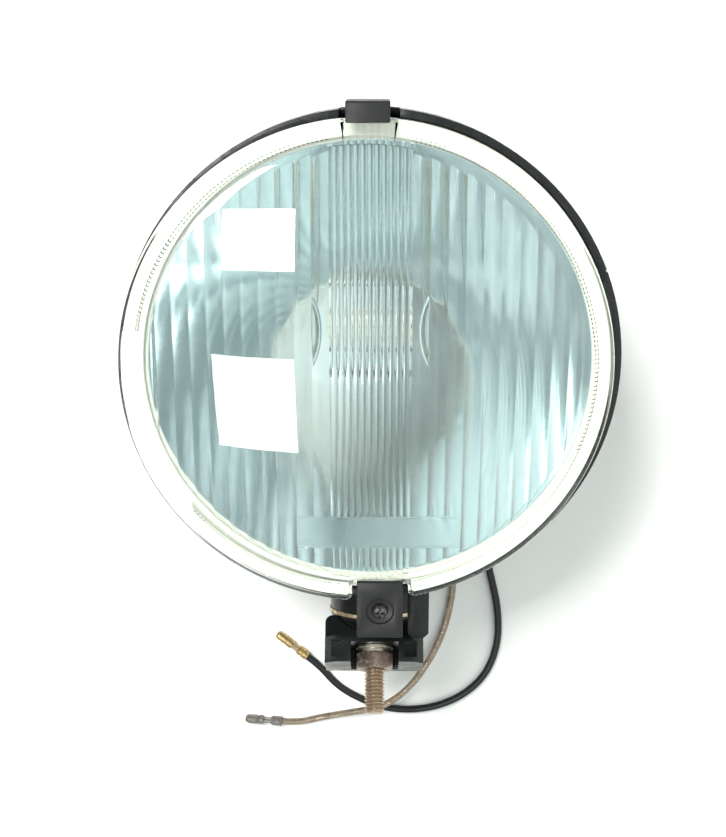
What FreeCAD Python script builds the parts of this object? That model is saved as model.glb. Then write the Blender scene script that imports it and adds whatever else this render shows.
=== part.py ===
"""Round fog light on a ball-knuckle foot, lying on its back with the lens facing +Z.

The origin is on the lens axis, on the flat back of the housing. -Y points to the mounting foot. Millimetres.
"""

import FreeCAD, Part
import math
import os

V = FreeCAD.Vector

# Lens: pressed glass with a flat flange and a crowned middle, seated a little to the lower left of the housing
LENS_R = 87.2
LENS_CENTRE = V(-1.6, -1.6, 0)
LENS_SEAT_Z = 76.3
LENS_FLANGE_T = 4.2
LENS_BAND_R = 78.6
LENS_OPTIC_R = 76.5
LENS_T = 4.5
LENS_CROWN = 7.5
LENS_EDGE = 1.2
LENS_TOP_Z = LENS_SEAT_Z + LENS_FLANGE_T

# Notches in the glass flange: the bottom one takes the clamp plate, the top one the clip
NOTCH_W = 20.6
NOTCH_X = 3.9
NOTCH_Y = -81.6
TOP_NOTCH_W = 17.0
TOP_NOTCH_X = -0.4
TOP_NOTCH_Y = 84.4

# Housing shell: dished back, straight rim band
RIM_R = 88.6
RIM_IN_R = 86.0
RIM_Z = 75.9
BAND_Z = 57.0
BACK_R = 38.0
BACK_IN_R = 37.2
SHELL_T = 2.5
SHOULDER_R = 86.6
SHOULDER_IN_R = 84.2
SHOULDER_Z = 50.0
BOWL_MID = (68.5, 17.0)
BOWL_MID_IN = (66.4, 18.9)
LEDGE_R = 82.5
LEDGE_Z = 72.8
LEDGE_T = 1.2
RIM_GAP_X = (-10.7, 9.9)
RIM_GAP_Y = 79.8
RIM_GAP_Z = 64.0
TICK_FIRST = 22.4
TICK_STEP = 37.0
TICK_COUNT = 9
TICK_W = 0.9
TICK_DEPTH = 0.5

# Reflector: paraboloid with a neck for the bulb
FOCAL = 25.0
REFLECTOR_R = 78.0
REFLECTOR_FLANGE_R = 85.4
REFLECTOR_TOP_Z = 74.3
REFLECTOR_T = 1.4
NECK_R = 20.0
NECK_FLOOR_Z = 12.5
BULB_HOLE_R = 9.0
GASKET_IN_R = 79.6
GASKET_OUT_R = 82.2

# Bulb
CAPSULE_R = 5.5
CAPSULE_TOP_Z = 37.0
CAPSULE_WALL = 0.8
COLLAR_R = 7.0
COLLAR_TOP_Z = 16.0
BASE_R = 11.0
BASE_T = 1.9
HUB_R = 5.5
HUB_Z = 6.6
FILAMENT_Z = 31.0
FILAMENT_R = 0.9
FILAMENT_L = 5.0
POST_R = 0.35
SPRING_R = 9.0
SPRING_WIRE_R = 0.7
PLUG_SIZE = (7.0, 4.6, 3.2)

# Lug under the clamp plate, and the wing beside it
LUG_X = (-4.2, 11.8)
LUG_Y = (-100.0, -87.0)
LUG_Z = (61.5, 80.5)
WING_X = (14.5, 22.4)
WING_Y = (-108.0, -84.0)
WING_Z = (63.5, 72.0)
WING_CHAMFER = 2.0

# Clamp plate and its screw
PLATE_X = (-4.7, 12.3)
PLATE_Y = (-101.1, -80.2)
PLATE_Z = 80.6
PLATE_T = 2.4
LIP_T = 1.2
LIP_DROP = 3.0
RECESS_R = 5.0
RECESS_DEPTH = 1.0
SCREW_XY = (3.8, -91.8)
SCREW_R = 2.0
SCREW_L = 15.0
SCREW_HEAD_R = 3.0
SCREW_HEAD_H = 2.4
SCREW_HEAD_ROUND = 1.3
SLOT_REACH = 1.9
SLOT_W = 0.9
SLOT_DEPTH = 1.2
CLAMP_NUT_AF = 7.0
CLAMP_NUT_T = 3.0
CLAMP_NUT_Z = 69.5
CLAMP_CLEAR = 0.05

# Top clip
CLIP_X = (-8.3, 6.6)
CLIP_LEG_Y = (88.65, 90.9)
CLIP_TIP_Y = 83.8
CLIP_Z = (58.0, 83.5)
CLIP_HOOK_Z = 80.7
CLIP_ROUND = 0.8
CLIP_TONGUE_Y = 85.0
CLIP_TONGUE_Z = (64.2, 66.4)

# Ball knuckle on the lamp, and its bright steel ring
PIVOT = V(1.9, -104.0, 35.0)
KNUCKLE_TILT = 12.0
KNUCKLE_R = 18.0
KNUCKLE_IN_R = 15.2
BALL_R = 20.4
BALL_IN_R = 17.9
RING_PLANE = 9.6
KNUCKLE_BACK = 27.0
STEEL_RING_R = 18.5
STEEL_RING = (7.0, 8.6)
STUD_SLOT_W = 8.6
STUD_SLOT_END = 14.0

# Foot, stud and what is on the stud, measured from the pivot along the stud
REST_TILT = 36.0
TILT_RANGE = (-18.0, 38.0)
FOOT_X = (-19.8, 19.3)
FOOT_TOP = 12.2
FOOT_STEP = 21.3
FOOT_BOTTOM = 31.5
FOOT_BACK = -14.0
FOOT_FRONT = 12.0
FOOT_STEP_FRONT = 6.0
FOOT_CHAMFER = 4.0
FOOT_TOP_ROUND = 3.0
FOOT_CUP_R = 20.7
NUT_BAY_X = 9.5
NUT_BAY_BACK = -9.5
NUT_BAY_TOP = 23.7
POCKET_W = 5.0
POCKET_X = (-17.0, 11.6)
POCKET_TOP = 23.0
POCKET_BOTTOM = 29.6
POCKET_DEPTH = 2.5
STUD_R = 3.97
SHANK_R = 3.65
STUD_FREE = 35.0
STUD_TIP = 50.0
STUD_TIP_CHAMFER = 0.8
HEAD_AF = 12.7
HEAD_H = 5.3
HEAD_BASE = 13.5
SADDLE_R = 7.5
SADDLE_BALL_R = 17.6
STUD_FIT = 0.05
WASHER_R = 7.6
WASHER_T = 1.2
LOCK_R = 6.6
LOCK_T = 1.6
LOCK_GAP_W = 1.2
NUT_AF = 14.3
NUT_H = 6.5
NUT_CHAMFER_R = 7.4
NUT_START = NUT_BAY_TOP + WASHER_T + LOCK_T

# Cable outlet boss and grommet, low on the back
OUTLET_ANGLE = -62.0
OUTLET_Z = 13.0
BOSS_R = 8.5
BOSS_SPAN = (46.0, 74.0)
GROMMET_R = 5.4
BORE_R = 5.5
GROMMET_SPAN = (60.0, 74.0)
GROMMET_FLANGE_R = 7.2
GROMMET_FLANGE_T = 2.0
LEAD_OFFSET = 2.8

# Leads
BLACK_R = 1.6
CLEAR_R = 1.5
INNER_R = 1.3
ARC_SHARE = 0.45

# Crimped bullet terminals: barrel, neck, bullet
CRIMP = (2.2, 5.0)
NECK = (1.3, 3.4)
BULLET = (2.0, 8.3)
BULLET_TIP = 1.0

OUTLET = V(math.cos(math.radians(OUTLET_ANGLE)), math.sin(math.radians(OUTLET_ANGLE)), 0)
OUTLET_SIDE = V(-OUTLET.y, OUTLET.x, 0)


def outlet_point(out, side, height):
    """A point from its distance out along the cable outlet, its offset to the right and its height."""
    return OUTLET * out + OUTLET_SIDE * side + V(0, 0, height)


OUTLET_FACE = GROMMET_SPAN[1] + GROMMET_FLANGE_T

# Routes of the free leads, from the outlet along the table to their terminals
BLACK_ROUTE = [
    outlet_point(OUTLET_FACE, LEAD_OFFSET, OUTLET_Z),
    outlet_point(85.0, 3.6, 11.6),
    V(45.6, -86.5, 6.0),
    V(49.2, -99.0, 2.5),
    V(52.9, -114.0, 1.75),
    V(56.4, -129.0, 1.7),
    V(56.8, -146.0, 1.7),
    V(51.6, -161.5, 1.7),
    V(40.5, -172.4, 1.7),
    V(26.0, -178.2, 1.7),
    V(9.5, -178.6, 1.75),
    V(-3.5, -173.8, 1.7),
    V(-14.6, -167.0, 1.75),
    V(-22.8, -156.3, 2.2),
    V(-28.3, -151.7, 2.2),
]
CLEAR_ROUTE = [
    outlet_point(OUTLET_FACE, -LEAD_OFFSET, OUTLET_Z),
    outlet_point(84.0, -3.2, 11.8),
    V(35.0, -87.0, 6.4),
    V(36.4, -98.5, 2.7),
    V(36.6, -112.0, 1.7),
    V(35.4, -126.0, 1.65),
    V(32.2, -140.5, 1.7),
    V(25.4, -155.0, 3.4),
    V(15.6, -166.6, 7.9),
    V(4.2, -174.4, 7.9),
    V(-10.0, -179.4, 3.3),
    V(-22.5, -182.6, 1.9),
    V(-32.6, -185.2, 2.2),
    V(-40.1, -184.6, 2.2),
]


def box(xs, ys, zs):
    """A box between the two values on each axis."""
    return Part.makeBox(xs[1] - xs[0], ys[1] - ys[0], zs[1] - zs[0], V(xs[0], ys[0], zs[0]))


def turned(edges):
    """The solid of revolution about Z of an outline in the XZ plane."""
    return Part.Face(Part.Wire(edges)).revolve(V(0, 0, 0), V(0, 0, 1), 360)


def rz(radius, height):
    """A point of a turned outline."""
    return V(radius, 0, height)


def path_edges(points):
    """Straight edges through the points."""
    return [Part.makeLine(a, b) for a, b in zip(points, points[1:])]


def arc(start, middle, end):
    """An arc edge through three points."""
    return Part.Arc(start, middle, end).toShape()


def hexagon(across_flats, thickness, base, direction):
    """A hexagonal prism from base along direction, with two flats square to X."""
    corner_r = across_flats / math.sqrt(3)
    angles = [math.radians(60 * i + 30) for i in range(7)]
    points = [V(corner_r * math.sin(a), corner_r * math.cos(a), 0) for a in angles]
    points[-1] = points[0]
    prism = Part.Face(Part.makePolygon(points)).extrude(V(0, 0, thickness))
    prism.Placement = FreeCAD.Placement(base, FreeCAD.Rotation(V(0, 0, 1), direction))
    return prism


def ring(outer, inner, thickness, base, direction):
    """A flat ring from base along direction."""
    outside = Part.makeCylinder(outer, thickness, base, direction)
    return outside.cut(Part.makeCylinder(inner, thickness, base, direction))


def tilted(degrees):
    """The direction in the YZ plane that is degrees up from -Y towards +Z."""
    return V(0, -math.cos(math.radians(degrees)), math.sin(math.radians(degrees)))


STUD_DIR = tilted(REST_TILT)
KNUCKLE_DIR = tilted(KNUCKLE_TILT)


def dome(base_r, height, base_z):
    """A solid spherical cap on a flat round base."""
    sphere_r = (base_r**2 + height**2) / (2 * height)
    sphere = Part.makeSphere(sphere_r, V(0, 0, base_z + height - sphere_r))
    return sphere.common(Part.makeCylinder(base_r + 1, height + 1, V(0, 0, base_z)))


def lens():
    """Glass lens with both notches."""
    outline = path_edges(
        [
            rz(0, LENS_SEAT_Z),
            rz(0, LENS_TOP_Z),
            rz(LENS_R - LENS_EDGE, LENS_TOP_Z),
            rz(LENS_R, LENS_TOP_Z - LENS_EDGE),
            rz(LENS_R, LENS_SEAT_Z + LENS_EDGE / 2),
            rz(LENS_R - LENS_EDGE / 2, LENS_SEAT_Z),
            rz(0, LENS_SEAT_Z),
        ]
    )
    glass = turned(outline).fuse(dome(LENS_BAND_R, LENS_CROWN, LENS_TOP_Z))
    hollow = LENS_TOP_Z + LENS_CROWN - LENS_T - LENS_SEAT_Z
    glass = glass.cut(dome(LENS_OPTIC_R, hollow, LENS_SEAT_Z))
    glass.translate(LENS_CENTRE)
    heights = (LENS_SEAT_Z - 1, LENS_TOP_Z + 1)
    bottom = (NOTCH_X - NOTCH_W / 2, NOTCH_X + NOTCH_W / 2)
    top = (TOP_NOTCH_X - TOP_NOTCH_W / 2, TOP_NOTCH_X + TOP_NOTCH_W / 2)
    beyond = LENS_R + LENS_CENTRE.Length
    glass = glass.cut(box(bottom, (-beyond, NOTCH_Y), heights))
    return glass.cut(box(top, (TOP_NOTCH_Y, beyond), heights))


def gasket():
    """Sealing ring between the reflector flange and the glass."""
    depth = LENS_SEAT_Z - REFLECTOR_TOP_Z
    return ring(GASKET_OUT_R, GASKET_IN_R, depth, V(0, 0, REFLECTOR_TOP_Z), V(0, 0, 1))


def reflector():
    """Paraboloid bowl with a flange, and a neck that holds the bulb."""

    def bowl(drop):
        vertex = REFLECTOR_TOP_Z - REFLECTOR_R**2 / (4 * FOCAL) - drop
        radii = [NECK_R + (REFLECTOR_R - NECK_R) * i / 6 for i in range(7)]
        curve = Part.BSplineCurve()
        curve.interpolate([rz(r, vertex + r**2 / (4 * FOCAL)) for r in radii])
        return curve.toShape()

    front, back = bowl(0), bowl(REFLECTOR_T)
    neck_top, neck_back = front.Vertexes[0].Point, back.Vertexes[0].Point
    lip, lip_back = front.Vertexes[-1].Point, back.Vertexes[-1].Point
    floor_back = NECK_FLOOR_Z - REFLECTOR_T
    inner = NECK_R - REFLECTOR_T
    edges = [front] + path_edges(
        [
            lip,
            rz(REFLECTOR_FLANGE_R, REFLECTOR_TOP_Z),
            rz(REFLECTOR_FLANGE_R, lip_back.z),
            lip_back,
        ]
    )
    edges.append(back)
    edges += path_edges(
        [
            neck_back,
            rz(NECK_R, floor_back),
            rz(BULB_HOLE_R, floor_back),
            rz(BULB_HOLE_R, NECK_FLOOR_Z),
            rz(inner, NECK_FLOOR_Z),
            rz(inner, neck_top.z),
            neck_top,
        ]
    )
    return turned(edges)


def bulb_capsule():
    """Glass envelope of the bulb, hollow round the filament."""
    straight = CAPSULE_TOP_Z - CAPSULE_R - COLLAR_TOP_Z
    outside = Part.makeCylinder(CAPSULE_R, straight, V(0, 0, COLLAR_TOP_Z))
    outside = outside.fuse(Part.makeSphere(CAPSULE_R, V(0, 0, CAPSULE_TOP_Z - CAPSULE_R)))
    inner_r = CAPSULE_R - CAPSULE_WALL
    inside = Part.makeCylinder(inner_r, straight - CAPSULE_WALL, V(0, 0, COLLAR_TOP_Z + CAPSULE_WALL))
    inside = inside.fuse(Part.makeSphere(inner_r, V(0, 0, CAPSULE_TOP_Z - CAPSULE_R)))
    return outside.cut(inside).removeSplitter()


def bulb_filament():
    """Filament across the capsule on its two support posts."""
    reach = FILAMENT_L / 2
    low = COLLAR_TOP_Z + CAPSULE_WALL
    coil = Part.makeCylinder(FILAMENT_R, FILAMENT_L, V(-reach, 0, FILAMENT_Z), V(1, 0, 0))
    for x in (-reach + POST_R, reach - POST_R):
        coil = coil.fuse(Part.makeCylinder(POST_R, FILAMENT_Z - low, V(x, 0, low)))
    return coil


def bulb_base():
    """Metal base of the bulb: collar, flange against the neck floor, and hub."""
    flange_top = NECK_FLOOR_Z - REFLECTOR_T
    flange_low = flange_top - BASE_T
    body = Part.makeCylinder(COLLAR_R, COLLAR_TOP_Z - flange_low, V(0, 0, flange_low))
    body = body.fuse(Part.makeCylinder(BASE_R, BASE_T, V(0, 0, flange_low)))
    return body.fuse(Part.makeCylinder(HUB_R, flange_low - HUB_Z, V(0, 0, HUB_Z)))


def bulb_spring():
    """Wire spring ring that presses the bulb flange home."""
    height = NECK_FLOOR_Z - REFLECTOR_T - BASE_T - SPRING_WIRE_R
    return Part.makeTorus(SPRING_R, SPRING_WIRE_R, V(0, 0, height))


def bulb_connector():
    """Insulated push-on connector under the bulb hub."""
    across, along, high = PLUG_SIZE
    return box((-across / 2, across / 2), (-along / 2, along / 2), (HUB_Z - high, HUB_Z))


def outer_bowl():
    """Solid body of the housing's outer shape."""
    edges = [arc(rz(SHOULDER_R, SHOULDER_Z), rz(*BOWL_MID), rz(BACK_R, 0))]
    edges += path_edges(
        [
            rz(BACK_R, 0),
            rz(0, 0),
            rz(0, RIM_Z),
            rz(RIM_R, RIM_Z),
            rz(RIM_R, BAND_Z),
            rz(SHOULDER_R, SHOULDER_Z),
        ]
    )
    return turned(edges)


def inner_bowl():
    """Solid body of the space inside the housing."""
    ledge_low = LEDGE_Z - LEDGE_T
    edges = [arc(rz(SHOULDER_IN_R, SHOULDER_Z), rz(*BOWL_MID_IN), rz(BACK_IN_R, SHELL_T))]
    edges += path_edges(
        [
            rz(BACK_IN_R, SHELL_T),
            rz(0, SHELL_T),
            rz(0, RIM_Z),
            rz(RIM_IN_R, RIM_Z),
            rz(RIM_IN_R, LEDGE_Z),
            rz(LEDGE_R, LEDGE_Z),
            rz(LEDGE_R, ledge_low),
            rz(RIM_IN_R, ledge_low - LEDGE_T),
            rz(RIM_IN_R, BAND_Z),
            rz(SHOULDER_IN_R, SHOULDER_Z),
        ]
    )
    return turned(edges)


def outlet_cylinder(radius, span):
    """A cylinder along the cable outlet, over a span of distances from the lens axis."""
    return Part.makeCylinder(radius, span[1] - span[0], outlet_point(span[0], 0, OUTLET_Z), OUTLET)


def wing():
    """Block beside the lug, with its lower corners cut off."""
    block = box(WING_X, WING_Y, WING_Z)
    low = [e for e in block.Edges if e.BoundBox.YMax < WING_Y[0] + 0.1 and e.BoundBox.ZLength > 1]
    return block.makeChamfer(WING_CHAMFER, low)


def housing_shell():
    """Black shell with rim band, lug, wing and cable outlet boss."""
    shell = outer_bowl().fuse([box(LUG_X, LUG_Y, LUG_Z), wing(), outlet_cylinder(BOSS_R, BOSS_SPAN)])
    shell = shell.cut(inner_bowl())
    shell = shell.cut(box(RIM_GAP_X, (RIM_GAP_Y, RIM_R + 1), (RIM_GAP_Z, RIM_Z + 1)))
    for i in range(TICK_COUNT):
        tick = box((RIM_R - TICK_DEPTH, RIM_R + 1), (-TICK_W / 2, TICK_W / 2), (BAND_Z, RIM_Z + 1))
        tick.rotate(V(0, 0, 0), V(0, 0, 1), TICK_FIRST + TICK_STEP * i)
        shell = shell.cut(tick)
    shell = shell.cut(outlet_cylinder(BORE_R, BOSS_SPAN))
    shank = SCREW_R + CLAMP_CLEAR
    x, y = SCREW_XY
    shell = shell.cut(Part.makeCylinder(shank, SCREW_L + 2, V(x, y, LUG_Z[1] - SCREW_L - 1)))
    half = CLAMP_NUT_AF / 2
    pocket_z = (CLAMP_NUT_Z, CLAMP_NUT_Z + CLAMP_NUT_T)
    return shell.cut(box((LUG_X[0], x + half), (y - half, y + half), pocket_z))


def clamp_nut():
    """Square nut held in the lug."""
    x, y = SCREW_XY
    half = CLAMP_NUT_AF / 2
    nut = box((x - half, x + half), (y - half, y + half), (CLAMP_NUT_Z, CLAMP_NUT_Z + CLAMP_NUT_T))
    hole = Part.makeCylinder(SCREW_R + CLAMP_CLEAR, CLAMP_NUT_T, V(x, y, CLAMP_NUT_Z))
    return nut.cut(hole)


def clamp_plate():
    """Plate that hooks over the glass at the bottom notch, with a recess for the screw head."""
    plate = box(PLATE_X, PLATE_Y, (PLATE_Z, PLATE_Z + PLATE_T))
    lip = box(PLATE_X, (PLATE_Y[0] - LIP_T, PLATE_Y[0]), (PLATE_Z - LIP_DROP, PLATE_Z + PLATE_T))
    plate = plate.fuse(lip)
    x, y = SCREW_XY
    top = PLATE_Z + PLATE_T
    plate = plate.cut(Part.makeCylinder(RECESS_R, RECESS_DEPTH, V(x, y, top - RECESS_DEPTH)))
    hole = Part.makeCylinder(SCREW_R + CLAMP_CLEAR, PLATE_T, V(x, y, PLATE_Z))
    return plate.cut(hole).removeSplitter()


def clamp_screw():
    """Pan-head screw with a cross recess."""
    x, y = SCREW_XY
    seat = PLATE_Z + PLATE_T - RECESS_DEPTH
    head = Part.makeCylinder(SCREW_HEAD_R, SCREW_HEAD_H, V(x, y, seat))
    rim = [e for e in head.Edges if e.BoundBox.ZMin > seat + SCREW_HEAD_H - 0.1]
    head = head.makeFillet(SCREW_HEAD_ROUND, rim)
    screw = head.fuse(Part.makeCylinder(SCREW_R, SCREW_L, V(x, y, seat - SCREW_L)))
    top = seat + SCREW_HEAD_H
    for xs, ys in ((SLOT_REACH, SLOT_W / 2), (SLOT_W / 2, SLOT_REACH)):
        screw = screw.cut(box((x - xs, x + xs), (y - ys, y + ys), (top - SLOT_DEPTH, top + 1)))
    return screw


def top_clip():
    """Hook on the rim that holds the glass at the top notch."""
    leg = box(CLIP_X, CLIP_LEG_Y, CLIP_Z)
    hook = box(CLIP_X, (CLIP_TIP_Y, CLIP_LEG_Y[1]), (CLIP_HOOK_Z, CLIP_Z[1]))
    tongue = box(CLIP_X, (CLIP_TONGUE_Y, CLIP_LEG_Y[1]), CLIP_TONGUE_Z)
    clip = leg.fuse([hook, tongue]).removeSplitter()
    top = [e for e in clip.Edges if e.BoundBox.ZMin > CLIP_Z[1] - 0.1 and e.BoundBox.YMin > CLIP_TIP_Y + 1]
    return clip.makeFillet(CLIP_ROUND, [e for e in top if e.BoundBox.XLength > 1])


def knuckle():
    """Hollow round lug on the housing that ends in part of a ball, slotted for the stud."""
    length = KNUCKLE_BACK + RING_PLANE
    start = PIVOT - KNUCKLE_DIR * KNUCKLE_BACK
    end = PIVOT + KNUCKLE_DIR * RING_PLANE

    def form(tube_r, ball_r):
        cap = Part.makeSphere(ball_r, PIVOT).common(Part.makeCylinder(tube_r, ball_r, end, KNUCKLE_DIR))
        return Part.makeCylinder(tube_r, length, start, KNUCKLE_DIR).fuse(cap)

    shell = form(KNUCKLE_R, BALL_R).cut(form(KNUCKLE_IN_R, BALL_IN_R))
    shell = shell.cut(outer_bowl())
    low, high = TILT_RANGE[0] - STUD_SLOT_END, TILT_RANGE[1] + STUD_SLOT_END
    side = V(STUD_SLOT_W / 2, 0, 0)
    reach = BALL_R * 1.5
    corners = [PIVOT - side] + [PIVOT - side + tilted(a) * reach for a in (low, (low + high) / 2, high)]
    wedge = Part.Face(Part.makePolygon(corners + corners[:1])).extrude(side * 2)
    return shell.cut(wedge)


def knuckle_ring():
    """Bright steel ring round the end of the knuckle."""
    base = PIVOT + KNUCKLE_DIR * STEEL_RING[0]
    return ring(STEEL_RING_R, KNUCKLE_R, STEEL_RING[1] - STEEL_RING[0], base, KNUCKLE_DIR)


def on_stud(distance):
    """The point of the stud's axis at that distance from the pivot."""
    return PIVOT + STUD_DIR * distance


def saddle_washer():
    """Domed washer between the bolt head and the inside of the ball."""
    blank = Part.makeCylinder(SADDLE_R, BALL_R, on_stud(HEAD_BASE), STUD_DIR)
    blank = blank.common(Part.makeSphere(SADDLE_BALL_R, PIVOT))
    return blank.cut(Part.makeCylinder(STUD_R + STUD_FIT, BALL_R, on_stud(HEAD_BASE), STUD_DIR))


def stud():
    """Hexagon-headed bolt whose free end is the mounting stud."""
    head = hexagon(HEAD_AF, HEAD_H, on_stud(HEAD_BASE - HEAD_H), STUD_DIR)
    shank = Part.makeCylinder(SHANK_R, STUD_FREE - HEAD_BASE, on_stud(HEAD_BASE), STUD_DIR)
    free_end = STUD_TIP - STUD_TIP_CHAMFER
    free = Part.makeCylinder(STUD_R, free_end - STUD_FREE, on_stud(STUD_FREE), STUD_DIR)
    small = STUD_R - STUD_TIP_CHAMFER
    tip_base = on_stud(free_end)
    tip = Part.makeCone(STUD_R, small, STUD_TIP_CHAMFER, tip_base, STUD_DIR)
    return head.fuse([shank, free, tip]).removeSplitter()


def foot_box(xs, span, fronts):
    """A box in the foot's upright pose: x from the pivot, span along the stud, fronts towards the lens side."""
    low, high = PIVOT.y - span[1], PIVOT.y - span[0]
    return box(
        (PIVOT.x + xs[0], PIVOT.x + xs[1]), (low, high), (PIVOT.z + fronts[0], PIVOT.z + fronts[1])
    )


def foot():
    """Block with a cup for the ball, a stepped front, and a bay for the nut that is open in front."""
    block = foot_box(FOOT_X, (FOOT_TOP, FOOT_BOTTOM), (FOOT_BACK, FOOT_FRONT))
    front = PIVOT.z + FOOT_FRONT
    corners = [e for e in block.Edges if e.BoundBox.ZMin > front - 0.1 and e.BoundBox.YLength > 1]
    block = block.makeChamfer(FOOT_CHAMFER, corners)
    block = block.cut(foot_box(FOOT_X, (FOOT_TOP, FOOT_STEP), (FOOT_STEP_FRONT, FOOT_FRONT)))
    top = PIVOT.y - FOOT_TOP
    rounds = [e for e in block.Edges if e.BoundBox.YMin > top - 0.1 and e.BoundBox.XLength < 0.1]
    block = block.makeFillet(FOOT_TOP_ROUND, rounds)
    block = block.cut(Part.makeSphere(FOOT_CUP_R, PIVOT))
    bay = foot_box((-NUT_BAY_X, NUT_BAY_X), (NUT_BAY_TOP, FOOT_BOTTOM + 1), (NUT_BAY_BACK, FOOT_FRONT + 1))
    block = block.cut(bay)
    for left in POCKET_X:
        span = (POCKET_TOP, POCKET_BOTTOM)
        pocket = foot_box((left, left + POCKET_W), span, (FOOT_FRONT - POCKET_DEPTH, FOOT_FRONT + 1))
        block = block.cut(pocket)
    block = block.cut(Part.makeCylinder(STUD_R + STUD_FIT, FOOT_BOTTOM, PIVOT, V(0, -1, 0)))
    block.rotate(PIVOT, V(1, 0, 0), -REST_TILT)
    return block


def flat_washer():
    """Flat washer against the foot."""
    return ring(WASHER_R, STUD_R + STUD_FIT, WASHER_T, on_stud(NUT_BAY_TOP), STUD_DIR)


def lock_washer():
    """Split lock washer, with its cut to the front."""
    base = on_stud(NUT_BAY_TOP + WASHER_T)
    washer = ring(LOCK_R, STUD_R + STUD_FIT, LOCK_T, base, STUD_DIR)
    cut = Part.makeBox(LOCK_R, LOCK_GAP_W, LOCK_T * 3, V(0, -LOCK_GAP_W / 2, -LOCK_T))
    cut.Placement = FreeCAD.Placement(base, FreeCAD.Rotation(V(0, 0, 1), STUD_DIR)).multiply(cut.Placement)
    return washer.cut(cut)


def stud_nut():
    """Hexagon nut with chamfered corners."""
    nut = hexagon(NUT_AF, NUT_H, on_stud(NUT_START), STUD_DIR)
    wide = NUT_CHAMFER_R + NUT_H
    nut = nut.common(Part.makeCone(wide, NUT_CHAMFER_R, NUT_H, on_stud(NUT_START), STUD_DIR))
    return nut.cut(Part.makeCylinder(STUD_R + STUD_FIT, NUT_H, on_stud(NUT_START), STUD_DIR))


def cable_grommet():
    """Rubber grommet in the outlet boss."""
    flange = (GROMMET_SPAN[1], GROMMET_SPAN[1] + GROMMET_FLANGE_T)
    return outlet_cylinder(GROMMET_R, GROMMET_SPAN).fuse(outlet_cylinder(GROMMET_FLANGE_R, flange))


def tube(name, route, radius):
    """Round tube along straight runs joined by tangent arcs; prints its bends and checks its volume."""
    edges, radii = [], []
    start = route[0]
    for before, corner, after in zip(route, route[1:], route[2:]):
        back, ahead = before - corner, after - corner
        turn = math.pi - back.getAngle(ahead)
        trim = ARC_SHARE * min(back.Length, ahead.Length)
        bend = trim / math.tan(turn / 2)
        first = corner + back * (trim / back.Length)
        last = corner + ahead * (trim / ahead.Length)
        inward = (first + last) * 0.5 - corner
        middle = corner + inward * ((bend / math.cos(turn / 2) - bend) / inward.Length)
        edges += [Part.LineSegment(start, first).toShape(), Part.Arc(first, middle, last).toShape()]
        radii.append(round(bend, 1))
        start = last
    edges.append(Part.LineSegment(start, route[-1]).toShape())
    path = Part.Wire(edges)
    length = path.Length
    section = Part.Wire(Part.makeCircle(radius, route[0], route[1] - route[0]))
    solid = path.makePipeShell([section], True, True)
    expected = math.pi * radius**2 * length
    print(name, "length", round(length, 1), "radii", radii, "volume ratio", round(solid.Volume / expected, 4))
    return solid


def terminal(route):
    """Crimped bullet terminal on the end of a lead, in line with its last run."""
    along = route[-1] - route[-2]
    along.normalize()
    at, parts = route[-1], []
    for radius, length in (CRIMP, NECK, BULLET):
        parts.append(Part.makeCylinder(radius, length, at, along))
        at = at + along * length
    bullet = parts[-1]
    rim = [e for e in bullet.Edges if (e.CenterOfMass - at).Length < 0.1]
    parts[-1] = bullet.makeFillet(BULLET_TIP, rim)
    return parts[0].fuse(parts[1:])


def inner_route(side, end):
    """Route of an inner lead from the grommet's inner face to the bulb."""
    return [
        outlet_point(GROMMET_SPAN[0], side, OUTLET_Z),
        outlet_point(47.0, side, 12.0),
        outlet_point(34.0, side * 1.2, 7.6),
        outlet_point(22.0, side * 1.3, 5.2),
        end,
    ]


NODES = {
    "lens": lens,
    "lens_gasket": gasket,
    "reflector": reflector,
    "bulb_capsule": bulb_capsule,
    "bulb_filament": bulb_filament,
    "bulb_base": bulb_base,
    "bulb_spring": bulb_spring,
    "bulb_connector": bulb_connector,
    "housing_shell": housing_shell,
    "top_clip": top_clip,
    "clamp_plate": clamp_plate,
    "clamp_screw": clamp_screw,
    "clamp_nut": clamp_nut,
    "knuckle": knuckle,
    "knuckle_ring": knuckle_ring,
    "saddle_washer": saddle_washer,
    "foot": foot,
    "stud": stud,
    "flat_washer": flat_washer,
    "lock_washer": lock_washer,
    "stud_nut": stud_nut,
    "cable_grommet": cable_grommet,
    "black_lead": lambda: tube("black_lead", BLACK_ROUTE, BLACK_R),
    "clear_lead": lambda: tube("clear_lead", CLEAR_ROUTE, CLEAR_R),
    "black_lead_terminal": lambda: terminal(BLACK_ROUTE),
    "clear_lead_terminal": lambda: terminal(CLEAR_ROUTE),
    "inner_live_lead": lambda: tube("inner_live_lead", inner_route(LEAD_OFFSET, V(4.8, 0, 5.2)), INNER_R),
    "inner_earth_lead": lambda: tube("inner_earth_lead", inner_route(-LEAD_OFFSET, V(0.8, -3.2, 5.0)), INNER_R),
}


def main():
    """Build every node, check it and write its STEP file."""
    os.makedirs("parts", exist_ok=True)
    for name, make in NODES.items():
        shape = make()
        print(name, "solids", len(shape.Solids), "valid", shape.isValid(), "volume", round(shape.Volume, 1))
        shape.exportStep(f"parts/{name}.step")


main()
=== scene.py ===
"""Looks of a round fog light on a ball-knuckle foot, built round its fixed frame.

Metres, in the frame's own axes: +Z along the lens axis, -Y towards the mounting foot.
"""

import logging
import math
import random
from collections.abc import Callable, Sequence
from dataclasses import dataclass
from enum import Enum

import bmesh
import bpy
import numpy as np
from mathutils import Matrix, Vector

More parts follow.
